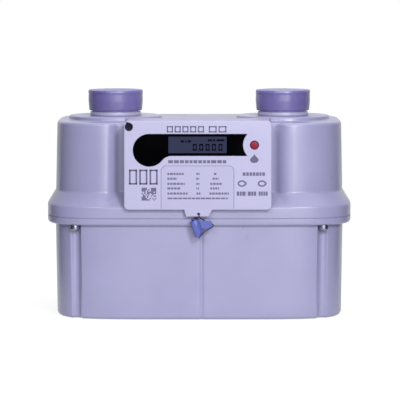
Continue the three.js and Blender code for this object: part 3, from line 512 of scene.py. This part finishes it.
def lower_case():
    phi = resample(lambda p: tub_outline(p, *LOWER_TOP), 1000)
    foot, top = tub_outline(phi, *LOWER_FOOT), tub_outline(phi, *LOWER_TOP)
    r = 4.0
    rings = [level(offset(foot, r + 6), FLOOR_Z)] + foot_fillet(foot, r, FLOOR_Z)
    for t in (0.15, 0.35, 0.6, 0.8, 1.0):
        rings.append(level(between(foot, top, t), between(FLOOR_Z + r, FLANGE_Z + 1, t)))
    tub = loft("lower_case_shell", rings)
    flange = superellipse(resample(lambda p: superellipse(p, *FLANGE, LOWER_N), 480), *FLANGE, LOWER_N)
    rings = [level(offset(flange, 12), FLANGE_Z)] + foot_fillet(flange, 3.0, FLANGE_Z)
    rings += [level(offset(flange, inset), PARTING[0] - z) for z, inset in PARTING_EDGE]
    join(tub, loft("flange", rings))
    inner = superellipse(resample(lambda p: superellipse(p, *LOWER_FOOT, LOWER_N), 200), *LOWER_FOOT, LOWER_N)
    through_top = PARTING[0] - FLOOR_Z + 1
    depths = ((WALL, WALL + 3), (WALL + 1, WALL + 1), (WALL + 3, WALL), (through_top, WALL - 0.8))
    hollow = loft("hollow", [level(offset(inner, inset), FLOOR_Z + z) for z, inset in depths])
    for x, y in SCREWS:
        cut(hollow, lathe("post", [(0, -20), (9, -20), (9, 120), (0, 120)], (x, y, 0), 40))
    cut(tub, hollow)
    for x, y in SCREWS:
        cut(tub, lathe("hole", [(0, 86), (3.2, 86), (3.2, 99), (0, 99)], (x, y, 0), 24))
    place(tub, "case", "lower_case", PAINT, "case_paint")


def case_gasket():
    phi = resample(lambda p: superellipse(p, *FLANGE, LOWER_N), 320)
    outer = superellipse(phi, FLANGE[0] - 0.25, FLANGE[1] - 0.25, LOWER_N)
    inner = superellipse(phi, 148.7, 86.5, LOWER_N)
    z0, z1 = PARTING[0] + 0.1, PARTING[1] - 0.1
    rings = [level(outer, z0), level(offset(outer, -0.1), (z0 + z1) / 2), level(outer, z1)]
    rings += [level(inner, z1), level(inner, z0)]
    place(loft("case_gasket_strip", rings, around=True), "case", "case_gasket", SEAM, "rubber")


def flange_screw(index, x, y):
    seat = FLANGE_Z - 0.1
    profile = rounded(
        [(0, seat - 3.2), (1.7, seat - 3.4), (1.7, seat - 6.0), (3.4, seat - 6.0), (5, seat - 4.2), (5, seat),
         (2.9, seat), (2.9, 105), (1.9, 106), (0, 106)],
        [0, 0, 0.25, 1.6, 1.0, 0.15, 0, 0.2, 0.2, 0], steps=4)
    screw = lathe(f"flange_screw_head_{index}", profile, (x, y, 0), 48)
    place(screw, "case", f"flange_screw_{index}", STEEL, "steel")


# ---------------------------------------------------------------- connections and caps


def connection(side, x):
    """The collar and the threaded sleeve, with a helical thread."""
    seat = BOSS_Z + 0.1
    segments, pitch, root, crest = 96, 2.309, 25.2, 1.6
    start, stop = 205.2, 220.2  # of the thread
    foot = [(20, 186), (24, 186), (24, seat), (27.2, seat), (27.2, 203.8), (root, 203.8), (root, start)]
    foot = rounded(foot, [0.4, 0.4, 0, 0.5, 0.6, 0.3, 0], steps=3)
    head = rounded([(root, stop), (24.9, 221.7), (20, 221.7)], [0, 0.5, 0.4], steps=3)
    rows = [[(r, z)] * segments for r, z in foot]
    for z in np.linspace(start, stop, 79)[1:-1]:
        near_end = min(1.0, (z - start) / 2.0, (stop - z) / 2.0)
        row = []
        for i in range(segments):
            phase = ((z - start) / pitch - i / segments) % 1.0
            ridge = 1 - abs(2 * phase - 1)
            row.append((root + crest * near_end * min(1.0, max(0.0, 1.35 * ridge - 0.15)), z))
        rows.append(row)
    rows += [[(r, z)] * segments for r, z in head]
    rings = []
    for row in rows:
        turns = [TAU * i / segments for i in range(segments)]
        rings.append(np.array([(x + r * math.cos(a), r * math.sin(a), z) for a, (r, z) in zip(turns, row)]))
    sleeve = loft(f"{side}_connection_sleeve", rings, around=True)
    # The sleeve's paint is the case paint lightened, painted light against the cap's shade.
    place(sleeve, "case", f"{side}_connection", SLEEVE_PAINT_LIGHTENED, "case_paint", angle=48)


def dust_cap(side, x):
    outer = [(0, 227.2), (26.2, 227.3), (28.9, 227.1), (29.4, 224.6), (29.0, 223.2), (29.2, 216),
             (28.5, 206.8), (27.9, 205.2), (27.1, 205.2)]
    radii = [0, 3, 0.9, 1.2, 1.2, 20, 1.4, 0.5, 0.2]
    inner = rounded([(27.1, 205.2), (27.1, 224.2), (0, 224.2)], [0, 1.0, 0])[1:]
    profile = np.concatenate([rounded(outer, radii, steps=6), inner])
    cap = lathe(f"{side}_cap_moulding", profile, (x, 0, 0), 128)
    place(cap, f"{side}_cap", f"{side}_cap", CAP, "cap")


# ---------------------------------------------------------------- index


def arc(cx, cz, r, a0, a1, steps):
    return [(cx + r * math.cos(a), cz + r * math.sin(a)) for a in np.linspace(a0, a1, steps)]


def window_outline(grow=0.0):
    """A round lobe, a bar that leaves it with a hollow corner, and a hollow right end round the button."""
    (lobe_x, lobe_z), r = WINDOW["lobe"], WINDOW["lobe_r"] + grow
    low, top = WINDOW["bar"][0] - grow, WINDOW["bar"][1] + grow
    blend, tip_r = WINDOW["blend"], WINDOW["tip_r"]
    drop = lobe_z - (low - blend)
    reach = math.sqrt((r + blend) ** 2 - drop**2)
    leave = math.atan2(-drop, reach)
    notch_x, notch = WINDOW["notch_x"], WINDOW["notch_r"] - grow
    half = (top - low) / 2 - 0.6
    sweep = math.asin(half / notch)
    middle = (top + low) / 2
    tip = notch_x - notch * math.cos(sweep) - tip_r
    pts = [(lobe_x, top)]
    pts += arc(lobe_x, lobe_z, r, math.pi / 2, TAU + leave, 44)[1:]
    pts += arc(lobe_x + reach, low - blend, blend, math.pi + leave, math.pi / 2, 14)[1:]
    pts += arc(tip, low + tip_r, tip_r, -math.pi / 2, 0.5, 6)
    pts += arc(notch_x, middle, notch, math.pi + sweep * 0.93, math.pi - sweep * 0.93, 20)
    pts += arc(tip, top - tip_r, tip_r, -0.5, math.pi / 2, 6)
    return np.array(pts)


def index_cover():
    x, z0, z1 = COVER["x"], COVER["z0"], COVER["z1"]
    outline = rounded([(-x, z0), (x, z0), (x, z1), (-x, z1)], 4.5, closed=True, steps=8)
    body = slab("index_cover_moulding", outline, edge(COVER["front"], COVER["back"], 1.1, 5))
    room = [(-x + 2, z0 + 2), (x - 2, z0 + 2), (x - 2, z1 - 2), (-x + 2, z1 - 2)]
    hollow = slab("hollow", rounded(room, 3.0, closed=True), [(-102.5, 0.6), (-102.3, 0), (-98, 0)])
    plug_x, plug_z = PLUG_SPOT
    post = [(0, -104), (5.2, -104), (5.2, -97), (0, -97)]
    cut(hollow, lathe("post", post, (plug_x + 1.2, 0, plug_z - 1.2), 40, axis="Y"))
    cut(body, hollow)
    tab = rounded([(-14.5, 108.8), (-12.2, 100.4), (11.1, 100.4), (15.7, 108.8)], [0, 0.9, 0.9, 0], steps=4)
    join(body, slab("tab", tab, edge(COVER["front"] + 0.02, -102, 0.5, 3)))
    opening = anticlockwise(window_outline(0.2))
    bevel = [(-106, -0.9), (-105, -0.45), (-104.75, -0.12), (-104.4, 0), (-101, 0)]
    cut(body, slab("window_hole", opening, bevel))
    around_button = [(0, -106), (5.4, -106), (4.9, -105), (4.6, -104.4), (4.6, -101), (0, -101)]
    cut(body, lathe("button_hole", around_button, (BUTTON[0], 0, BUTTON[1]), 48, axis="Y"))
    around_plug = [(0, -106), (4.6, -106), (4.3, -105), (4.25, -104.7), (4.25, -101.5), (2.1, -101.5),
                   (2.1, -97), (0, -97)]
    cut(body, lathe("plug_hole", around_plug, (plug_x, 0, plug_z), 48, axis="Y"))
    around_wire = [(0, -106), (1.9, -106), (1.5, -104.8), (1.4, -104.4), (1.4, -101), (0, -101)]
    cut(body, lathe("seal_hole", around_wire, (SEAL_HOLE[0], 0, SEAL_HOLE[1]), 32, axis="Y"))
    place(body, "case", "index_cover", MOULDED, "cover")


def index_housing():
    outline = rounded([(-76, 112.7), (76, 112.7), (76, 199.4), (-76, 199.4)], 4.5, closed=True, steps=8)
    body = slab("index_housing_moulding", outline, [(-98.8, 0), (-47, 0), (-45.9, 0.4), (-45.4, 1.4)])
    room = rounded([(-73.8, 114.9), (73.8, 114.9), (73.8, 197.2), (-73.8, 197.2)], 1.5, closed=True)
    hollow = slab("hollow", room, [(-100, 0), (-47.6, 0)])
    plug_x, plug_z = PLUG_SPOT
    post = [(0, -101), (4.5, -101), (4.5, -46), (0, -46)]
    cut(hollow, lathe("post", post, (plug_x + 1.4, 0, plug_z - 1.4), 32, axis="Y"))
    cut(body, hollow)
    for x in (-64, 64):
        cut(body, lathe("hole", [(0, -49), (2.2, -49), (2.2, -44), (0, -44)], (x, 0, 160), 24, axis="Y"))
    pilot = [(0, -100), (2.1, -100), (2.1, -82.8), (0, -82.8)]
    cut(body, lathe("pilot", pilot, (plug_x, 0, plug_z), 24, axis="Y"))
    place(body, "case", "index_housing", MOULDED, "cover")


def display_window():
    levels = [(-104.7, 0.35), (-104.6, 0.1), (-104.4, 0), (-102.9, 0)]
    pane = slab("display_window_pane", window_outline(), levels)
    view = rounded([(-30.5, 166.3), (30, 166.3), (30, 183.6), (-30.5, 183.6)], 0.5, closed=True)
    cut(pane, slab("view", view, [(-106, 0), (-104.35, 0)]))
    place(pane, "case", "display_window", BLACK, "window")
    place(slab("lcd_view", view, [(-104.62, 0.12), (-104.45, 0.06)]), "case", None, LCD, "display")


def bar_shape(x0, z0, x1, z1, y, thick, r=0.0):
    corners = [(x0, z0), (x1, z0), (x1, z1), (x0, z1)]
    outline = rounded(corners, r, closed=True, steps=3) if r else np.array(corners, float)
    return slab("bar", outline, [(y - thick, 0), (y, 0)])


def zero(x, z, w, h, stroke):
    """The six lit bars of a nought on the display."""
    half, y, thick = h / 2, LCD_FACE, 0.03
    bars = [bar_shape(x + 0.35, low, x + w - 0.35, low + stroke, y, thick) for low in (z + h - stroke, z)]
    for left in (x + w - stroke, x):
        bars.append(bar_shape(left, z + half + 0.3, left + stroke, z + h - 0.5, y, thick))
        bars.append(bar_shape(left, z + 0.5, left + stroke, z + half - 0.3, y, thick))
    return bars


def lcd_marks():
    parts = []
    for i in range(5):
        parts += zero(-5.2 + 6.6 * i, 168.8, 4.3, 7.2, 1.35)
    marks = ((-17.7, 3.4, 177.4), (-13.2, 1.6, 177.2), (-10.6, 3.6, 177.6), (10.5, 4.2, 178.6),
             (15.6, 2.4, 178.6), (19.3, 8.2, 178.6))
    for x, w, z in marks:
        parts.append(bar_shape(x, z, x + w, z + 2.2, LCD_FACE, 0.03, 0.3))
    place(merged("lcd_figures", parts), "case", None, SEGMENT, "display")


def outline_strip(points, width, y, thick):
    """A thin line of even width along points in X and Z."""
    pts = np.array(points, float)
    d = np.gradient(pts, axis=0)
    d /= np.linalg.norm(d, axis=1, keepdims=True)
    side = np.column_stack([-d[:, 1], d[:, 0]]) * width / 2
    outline = np.concatenate([pts + side, (pts - side)[::-1]])
    return slab("strip", outline, [(y - thick, 0), (y, 0)])


def cover_print():
    """Plain bars and blocks where the cover carries its wording, table and code."""
    rng = np.random.default_rng(5)
    face, thick = COVER["front"] + 0.01, 0.05
    dark, fine = [], []

    def words(into, x0, x1, z0, z1, longest, gap):
        """A row of plain bars of uneven length."""
        x = x0
        while x < x1 - 0.4:
            w = min(x1 - x, longest * (0.55 + 0.45 * rng.random()))
            into.append(bar_shape(x, z0, x + w, z1, face, thick, 0.12))
            x += w + gap

    def boxes(into, x0, x1, z0, z1, count, stroke, gap):
        """A row of plain upright outlines, spread between x0 and x1."""
        w = (x1 - x0 - gap * (count - 1)) / count
        for i in range(count):
            x = x0 + i * (w + gap)
            for side in (x, x + w - stroke):
                into.append(bar_shape(side, z0, side + stroke, z1, face, thick))
            for z in (z0, z1 - stroke):
                into.append(bar_shape(x, z, x + w, z + stroke, face, thick))

    boxes(dark, -31.9, 6.4, 187.9, 194.4, 5, 1.2, 1.8)
    boxes(dark, 11.4, 29.6, 187.9, 194.4, 2, 1.2, 2.0)
    words(fine, -30.6, 29.5, 155.9, 159.2, 5.6, 0.9)
    boxes(dark, -71.2, -41.5, 133.8, 149.4, 3, 1.7, 2.2)
    cell = 1.38
    for row in range(10):
        for col in range(11):
            corner = (row < 3 and col < 3) or (row < 3 and col > 7) or (row > 6 and col < 3)
            if corner or rng.random() < 0.52:
                x, z = -58.2 + col * cell, 130.6 - row * cell * 0.97
                dark.append(bar_shape(x, z - cell, x + cell * 0.97, z - cell * 0.03, face, thick))
    frame_line = [(-38, 108.9), (-38, 153.3), (37.4, 153.3), (37.4, 108.9)]
    fine.append(outline_strip(rounded(frame_line, [0, 5.4, 5.4, 0], steps=8), 0.5, face, thick))
    # The table's rows: height, length of the name, length of the unit, start and end of the value.
    table = ((144.9, 17, 3.4, 16.7, 19.9), (139.9, 10, 3.0, 15.3, 21.6), (134.6, 18, 3.2, 12.9, 25.1),
             (129.8, 14, 3.4, 12.9, 22.1), (124.5, 21, 5.0, 12.0, 32.4))
    for z, name, unit, start, stop in table:
        words(fine, -31.5, -31.5 + name, z - 1.1, z + 1.1, 3.4, 0.6)
        words(fine, -1.5, -1.5 + unit, z - 1.1, z + 1.1, 2.0, 0.5)
        words(fine, start, stop, z - 1.1, z + 1.1, 3.2, 0.6)
    words(fine, -31.5, 31.1, 118.6, 120.3, 6.0, 0.6)
    words(fine, 46.5, 70.1, 142.9, 146.5, 3.4, 0.7)
    for x0, x1 in ((40.3, 50.2), (51.8, 61.4), (63.0, 73.0)):
        words(fine, x0, x1, 122.2, 126.6, 3.2, 0.5)
    for x in (45.6, 66.4):
        around = np.linspace(0.03, TAU - 0.03, 30)
        ring_line = [(x + 3.6 * math.cos(a), 134.9 + 2.6 * math.sin(a)) for a in around]
        dark.append(outline_strip(ring_line, 1.5, face, thick))
        fine.append(outline_strip([(x + 3.6, 136.6), (x + 5.2, 134.9), (x + 3.6, 133.2)], 0.7, face, thick))
    drop = [(58.5 + 4.4 * math.sin(a), 159.6 - 3.4 * math.cos(a)) for a in np.linspace(-1.9, 1.9, 26)]
    drop += [(59.6, 163.6), (58.5, 165.6), (57.4, 163.6)]
    dark.append(slab("drop", np.array(drop), [(face - thick, 0), (face, 0)]))
    place(merged("cover_print_dark", dark), "case", None, PRINT, "cover")
    place(merged("cover_print_fine", fine), "case", None, FINE, "cover")
    corners = [(-37.8, 109.2), (37.2, 109.2), (37.2, 153.1), (-37.8, 153.1)]
    inside = rounded(corners, [0.4, 0.4, 5.2, 5.2], closed=True)
    place(slab("table_panel", inside, [(face - 0.025, 0), (face, 0)]), "case", None, PANEL, "cover")


def push_button():
    profile = [(0, -105.8), (2.8, -105.72), (3.8, -105.5), (4.15, -105.1), (4.25, -104.6), (4.25, -102.4),
               (5.6, -102.4), (5.6, -101.7), (0, -101.7)]
    button = lathe("push_button_cap", profile, (BUTTON[0], 0, BUTTON[1]), 64, axis="Y")
    place(button, "button", "push_button", RED, "button")


def seal_plug():
    x, z = PLUG_SPOT
    profile = [(0, -105.75), (2.5, -105.7), (3.5, -105.9), (3.95, -105.7), (4.1, -105.2), (4.1, -103.1),
               (0, -103.1)]
    plug = lathe("cover_seal_plug_body", profile, (x, 0, z), 48, axis="Y")
    nub = [(x - 3.2, z + 1.5), (x + 0.4, z + 3.2), (x - 0.4, z + 5.0), (x - 2.6, z + 5.0)]
    join(plug, slab("nub", rounded(nub, 0.5, closed=True), [(-105.9, 0.3), (-105.6, 0), (-105.2, 0)]))
    place(plug, "case", "cover_seal_plug", PLUG, "seal_plug")


# ---------------------------------------------------------------- hanging seal

TILT = 0.3
SEAL_Y = -104.6
SEAL_CENTRE = np.array([-1.0, SEAL_Y, 88.3])


def tilt(obj):
    """Leans a piece drawn about its own axis into the seal's place."""
    co = np.array([v.co for v in obj.data.vertices]) / MM - origin
    c, s = math.cos(TILT), math.sin(TILT)
    x, z = co[:, 0] * c - co[:, 2] * s, co[:, 0] * s + co[:, 2] * c
    out = np.column_stack([x, co[:, 1], z]) + SEAL_CENTRE + origin
    obj.data.vertices.foreach_set("co", (out * MM).ravel())
    obj.data.update()
    return obj


def seal():
    half = 8.6
    section = [(3.1, -half), (4.5, -half), (5.0, half - 4), (5.0, half), (3.1, half)]
    section = rounded(section, [0.2, 0.7, 2, 0.7, 0.2], closed=True, steps=4)
    barrel = lathe("seal_body_shell", section, segments=64)
    corners = [(0, 87.6), (14.6, 87.6), (14.6, 96), (0, 96)]
    thickness = [(SEAL_Y + y, inset) for y, inset in ((-0.9, 0.35), (-0.65, 0), (0.65, 0), (0.9, 0.35))]
    tag = slab("tag", rounded(corners, [0, 2.0, 2.0, 0], closed=True, steps=6), thickness)
    tilt(barrel)
    cut(tag, tilt(lathe("bore", [(0, -12), (3.6, -12), (3.6, 12), (0, 12)], segments=48)))
    join(barrel, tag)
    place(barrel, "hanging_seal", "seal_body", CLEAR, "seal_clear")
    core = [(0.9, -7.6), (2.8, -7.6), (2.8, -4.5), (2.3, -4.1), (2.3, -1.2), (2.8, -0.8), (2.8, 3.0),
            (2.3, 3.4), (2.3, 5.4), (2.8, 5.8), (2.8, half + 0.3), (3.4, half + 0.3), (3.4, half + 1.2),
            (2.2, half + 1.2), (1.1, half - 1.5)]
    rotor = tilt(lathe("seal_rotor_core", rounded(core, 0.2, closed=True, steps=2), segments=48))
    place(rotor, "hanging_seal", "seal_rotor", ROTOR, "seal_clear")


def catmull(points, per):
    """A smooth curve through points, with per steps between each two."""
    pts = np.array(points, float)
    pts = np.vstack([2 * pts[0] - pts[1], pts, 2 * pts[-1] - pts[-2]])
    out = []
    for i in range(1, len(pts) - 2):
        p0, p1, p2, p3 = pts[i - 1:i + 3]
        for k in range(per):
            t = k / per
            square, cube = 2 * p0 - 5 * p1 + 4 * p2 - p3, 3 * p1 - p0 - 3 * p2 + p3
            out.append(0.5 * (2 * p1 + (p2 - p0) * t + square * t**2 + cube * t**3))
    out.append(pts[-2])
    return np.array(out)


def frames_along(path):
    """Two directions across a path at each of its points, carried along without twist."""
    d = np.gradient(path, axis=0)
    d /= np.linalg.norm(d, axis=1, keepdims=True)
    up = np.cross(d[0], [0.3, 0.2, 1.0])
    frames = []
    for t in d:
        up = up - t * (up @ t)
        up = up / np.linalg.norm(up)
        frames.append((up, np.cross(t, up)))
    return frames


def strand(path, radius, sides=10):
    """Rings of a round wire along a path."""
    turns = np.linspace(0, TAU, sides, endpoint=False)
    return [np.array([p + radius * (math.cos(a) * up + math.sin(a) * side) for a in turns])
            for p, (up, side) in zip(path, frames_along(path))]


def seal_wire():
    """Two strands wound round each other, from the free end, through the tab and into the rotor."""
    s, c = math.sin(TILT), math.cos(TILT)

    def in_rotor(along):
        return (SEAL_CENTRE[0] - along * s, SEAL_Y, SEAL_CENTRE[2] + along * c)

    x, z = SEAL_HOLE
    behind = SEAL_Y + 1.9  # of the tag
    route = [(1.2, SEAL_Y - 6, 78.4), (5, SEAL_Y - 6, 83.6), (9.8, SEAL_Y - 5.4, 87),
             (14.6, SEAL_Y - 3.2, 89.6), (16.3, SEAL_Y, 91.2), (14.4, behind, 92.6),
             (9, behind + 0.3, 94.8), (5.8, behind - 0.4, 96.9), (3.6, SEAL_Y - 1.6, 98.2),
             (1.9, -106.4, 100), (x + 0.1, -106.3, z - 0.6), (x, -104, z), (x, -102.3, z),
             (x, -100.8, z - 1), (x - 0.8, -101, z - 4), (x - 3.2, -103, z - 4.1),
             in_rotor(9.9), in_rotor(6.6), in_rotor(4.1)]
    centre = catmull(route, 14)
    steps = np.linalg.norm(np.diff(centre, axis=0), axis=1)
    turns = TAU * np.concatenate([[0], np.cumsum(steps)]) / 3.2  # one turn in 3.2 mm
    frames = frames_along(centre)
    parts = []
    for phase in (0.0, math.pi):
        path = np.array([p + 0.26 * (math.cos(a + phase) * up + math.sin(a + phase) * side)
                         for p, a, (up, side) in zip(centre, turns, frames)])
        parts.append(loft("strand", strand(path, 0.29)))
    place(merged("seal_wire_twist", parts), "hanging_seal", "seal_wire", WIRE, "steel", angle=60)


# ---------------------------------------------------------------- build

upper_case()
lower_case()
case_gasket()
for i, (sx, sy) in enumerate(SCREWS):
    flange_screw(i + 1, sx, sy)
for side, px in (("inlet", -PIPE_X), ("outlet", PIPE_X)):
    connection(side, px)
    dust_cap(side, px)

# The index, its cover's fittings and the seal are drawn from the index's own middle.
origin[0] = INDEX_X
index_housing()
index_cover()
display_window()
lcd_marks()
cover_print()
push_button()
seal_plug()
seal()
seal_wire()
origin[0] = 0.0

# The pieces inside keep their CAD shapes and only take a finish.
INNER = {
    RUBBER: ["index_gasket", "shutoff_seal", "riser_seal", "unit_rail_left", "unit_rail_right"],
    STEEL: ["index_screw_left", "index_screw_right", "cover_screw", "shutoff_motor",
            "diaphragm_plate_left", "diaphragm_plate_right", "flag_rod_left", "flag_rod_right",
            "drive_link_left", "drive_link_right", "valve_link_left", "valve_link_right"],
    BRASS: ["crank_wheel", "rod_bush_left", "rod_bush_right", "flag_arm_left", "flag_arm_right"],
    MOULDING: ["lcd_module", "shutoff_body", "shutoff_plunger", "chamber_body", "front_chamber_cover",
               "rear_chamber_cover", "valve_table", "outlet_riser", "crank_bracket",
               "diaphragm_ring_left", "diaphragm_ring_right"],
    LEATHER: ["diaphragm_left", "diaphragm_right"],
    PHENOLIC: ["slide_valve_left", "slide_valve_right"],
    BOARD: ["circuit_board"],
    CELL: ["battery_cell"],
}
for mat, node_names in INNER.items():
    for node_name in node_names:
        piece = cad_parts[node_name]
        piece.data.materials.clear()
        piece.data.materials.append(mat)

# ---------------------------------------------------------------- light and camera


def stage_sheet(name, corners, colour, glow=0.0):
    """A plain flat sheet that belongs to the studio and not to the meter."""
    sheet = mesh_object(name, corners, [(0, 1, 2, 3)])
    mat = bpy.data.materials.new(name)
    mat.use_nodes = True
    shader = mat.node_tree.nodes["Principled BSDF"]
    shader.inputs["Base Color"].default_value = colour
    shader.inputs["Roughness"].default_value = 0.9
    shader.inputs["Specular IOR Level"].default_value = 0.0
    shader.inputs["Emission Color"].default_value = (1, 1, 1, 1)
    shader.inputs["Emission Strength"].default_value = glow
    sheet.data.materials.append(mat)
    return sheet


# The pale floor glows a little, like a lit table, so that the meter casts hardly any shadow on it.
reach = 6000
square = ((-reach, -reach), (reach, -reach), (reach, reach), (-reach, reach))
floor_corners = [(x, y, FLOOR_Z) for x, y in square]
stage_sheet("floor", floor_corners, (0.12, 0.12, 0.12, 1), glow=0.88)

# Dark flags on both sides only hold light back, so that the sides of the case turn darker than its front.
front, back, top = -850, 170, 1100
for side in (-1, 1):
    low_x, high_x = side * 370, side * 620
    flag_corners = [(low_x, front, FLOOR_Z), (low_x, back, FLOOR_Z), (high_x, back, top), (high_x, front, top)]
    flag = stage_sheet(f"flag_{side}", flag_corners, (0.02, 0.02, 0.02, 1))
    flag.visible_camera = False

world = bpy.data.worlds.new("studio")
world.use_nodes = True
world.node_tree.nodes["Background"].inputs["Color"].default_value = (1.0, 1.0, 1.0, 1.0)
world.node_tree.nodes["Background"].inputs["Strength"].default_value = 1.0
bpy.context.scene.world = world
bpy.context.scene.view_settings.view_transform = "Standard"


def softbox(name, at, to, size, power):
    light = bpy.data.lights.new(name, "AREA")
    light.shape = "RECTANGLE"
    light.size, light.size_y = size
    light.energy = power
    obj = bpy.data.objects.new(name, light)
    bpy.context.scene.collection.objects.link(obj)
    obj.location = Vector(at)
    obj.rotation_euler = (Vector(to) - Vector(at)).to_track_quat("-Z", "Y").to_euler()


softbox("top_box", (0.1, 0.1, 1.5), (0, 0, 0.15), (1.2, 0.9), 12)
softbox("key_box", (0.7, -2.1, 1.2), (0, 0, 0.12), (0.4, 0.25), 36)
softbox("fill_box", (-0.7, -2.1, 1.2), (0, 0, 0.12), (0.4, 0.25), 14)
softbox("front_box", (0.1, -2.3, 0.6), (0, 0, 0.12), (0.9, 0.6), 13)
softbox("strip_box", (0.8, -2.2, 0.35), (0, 0, 0.12), (0.3, 1.1), 18)

camera_data = bpy.data.cameras.new("camera")
camera_data.lens = 209.04
camera_data.sensor_width = 36
camera = bpy.data.objects.new("camera", camera_data)
bpy.context.scene.collection.objects.link(camera)
camera.location = (0.0008, -2.5, 0.35716)
look_down = 5.48  # degrees
camera.rotation_euler = (math.radians(90 - look_down), 0, 0)
bpy.context.scene.camera = camera
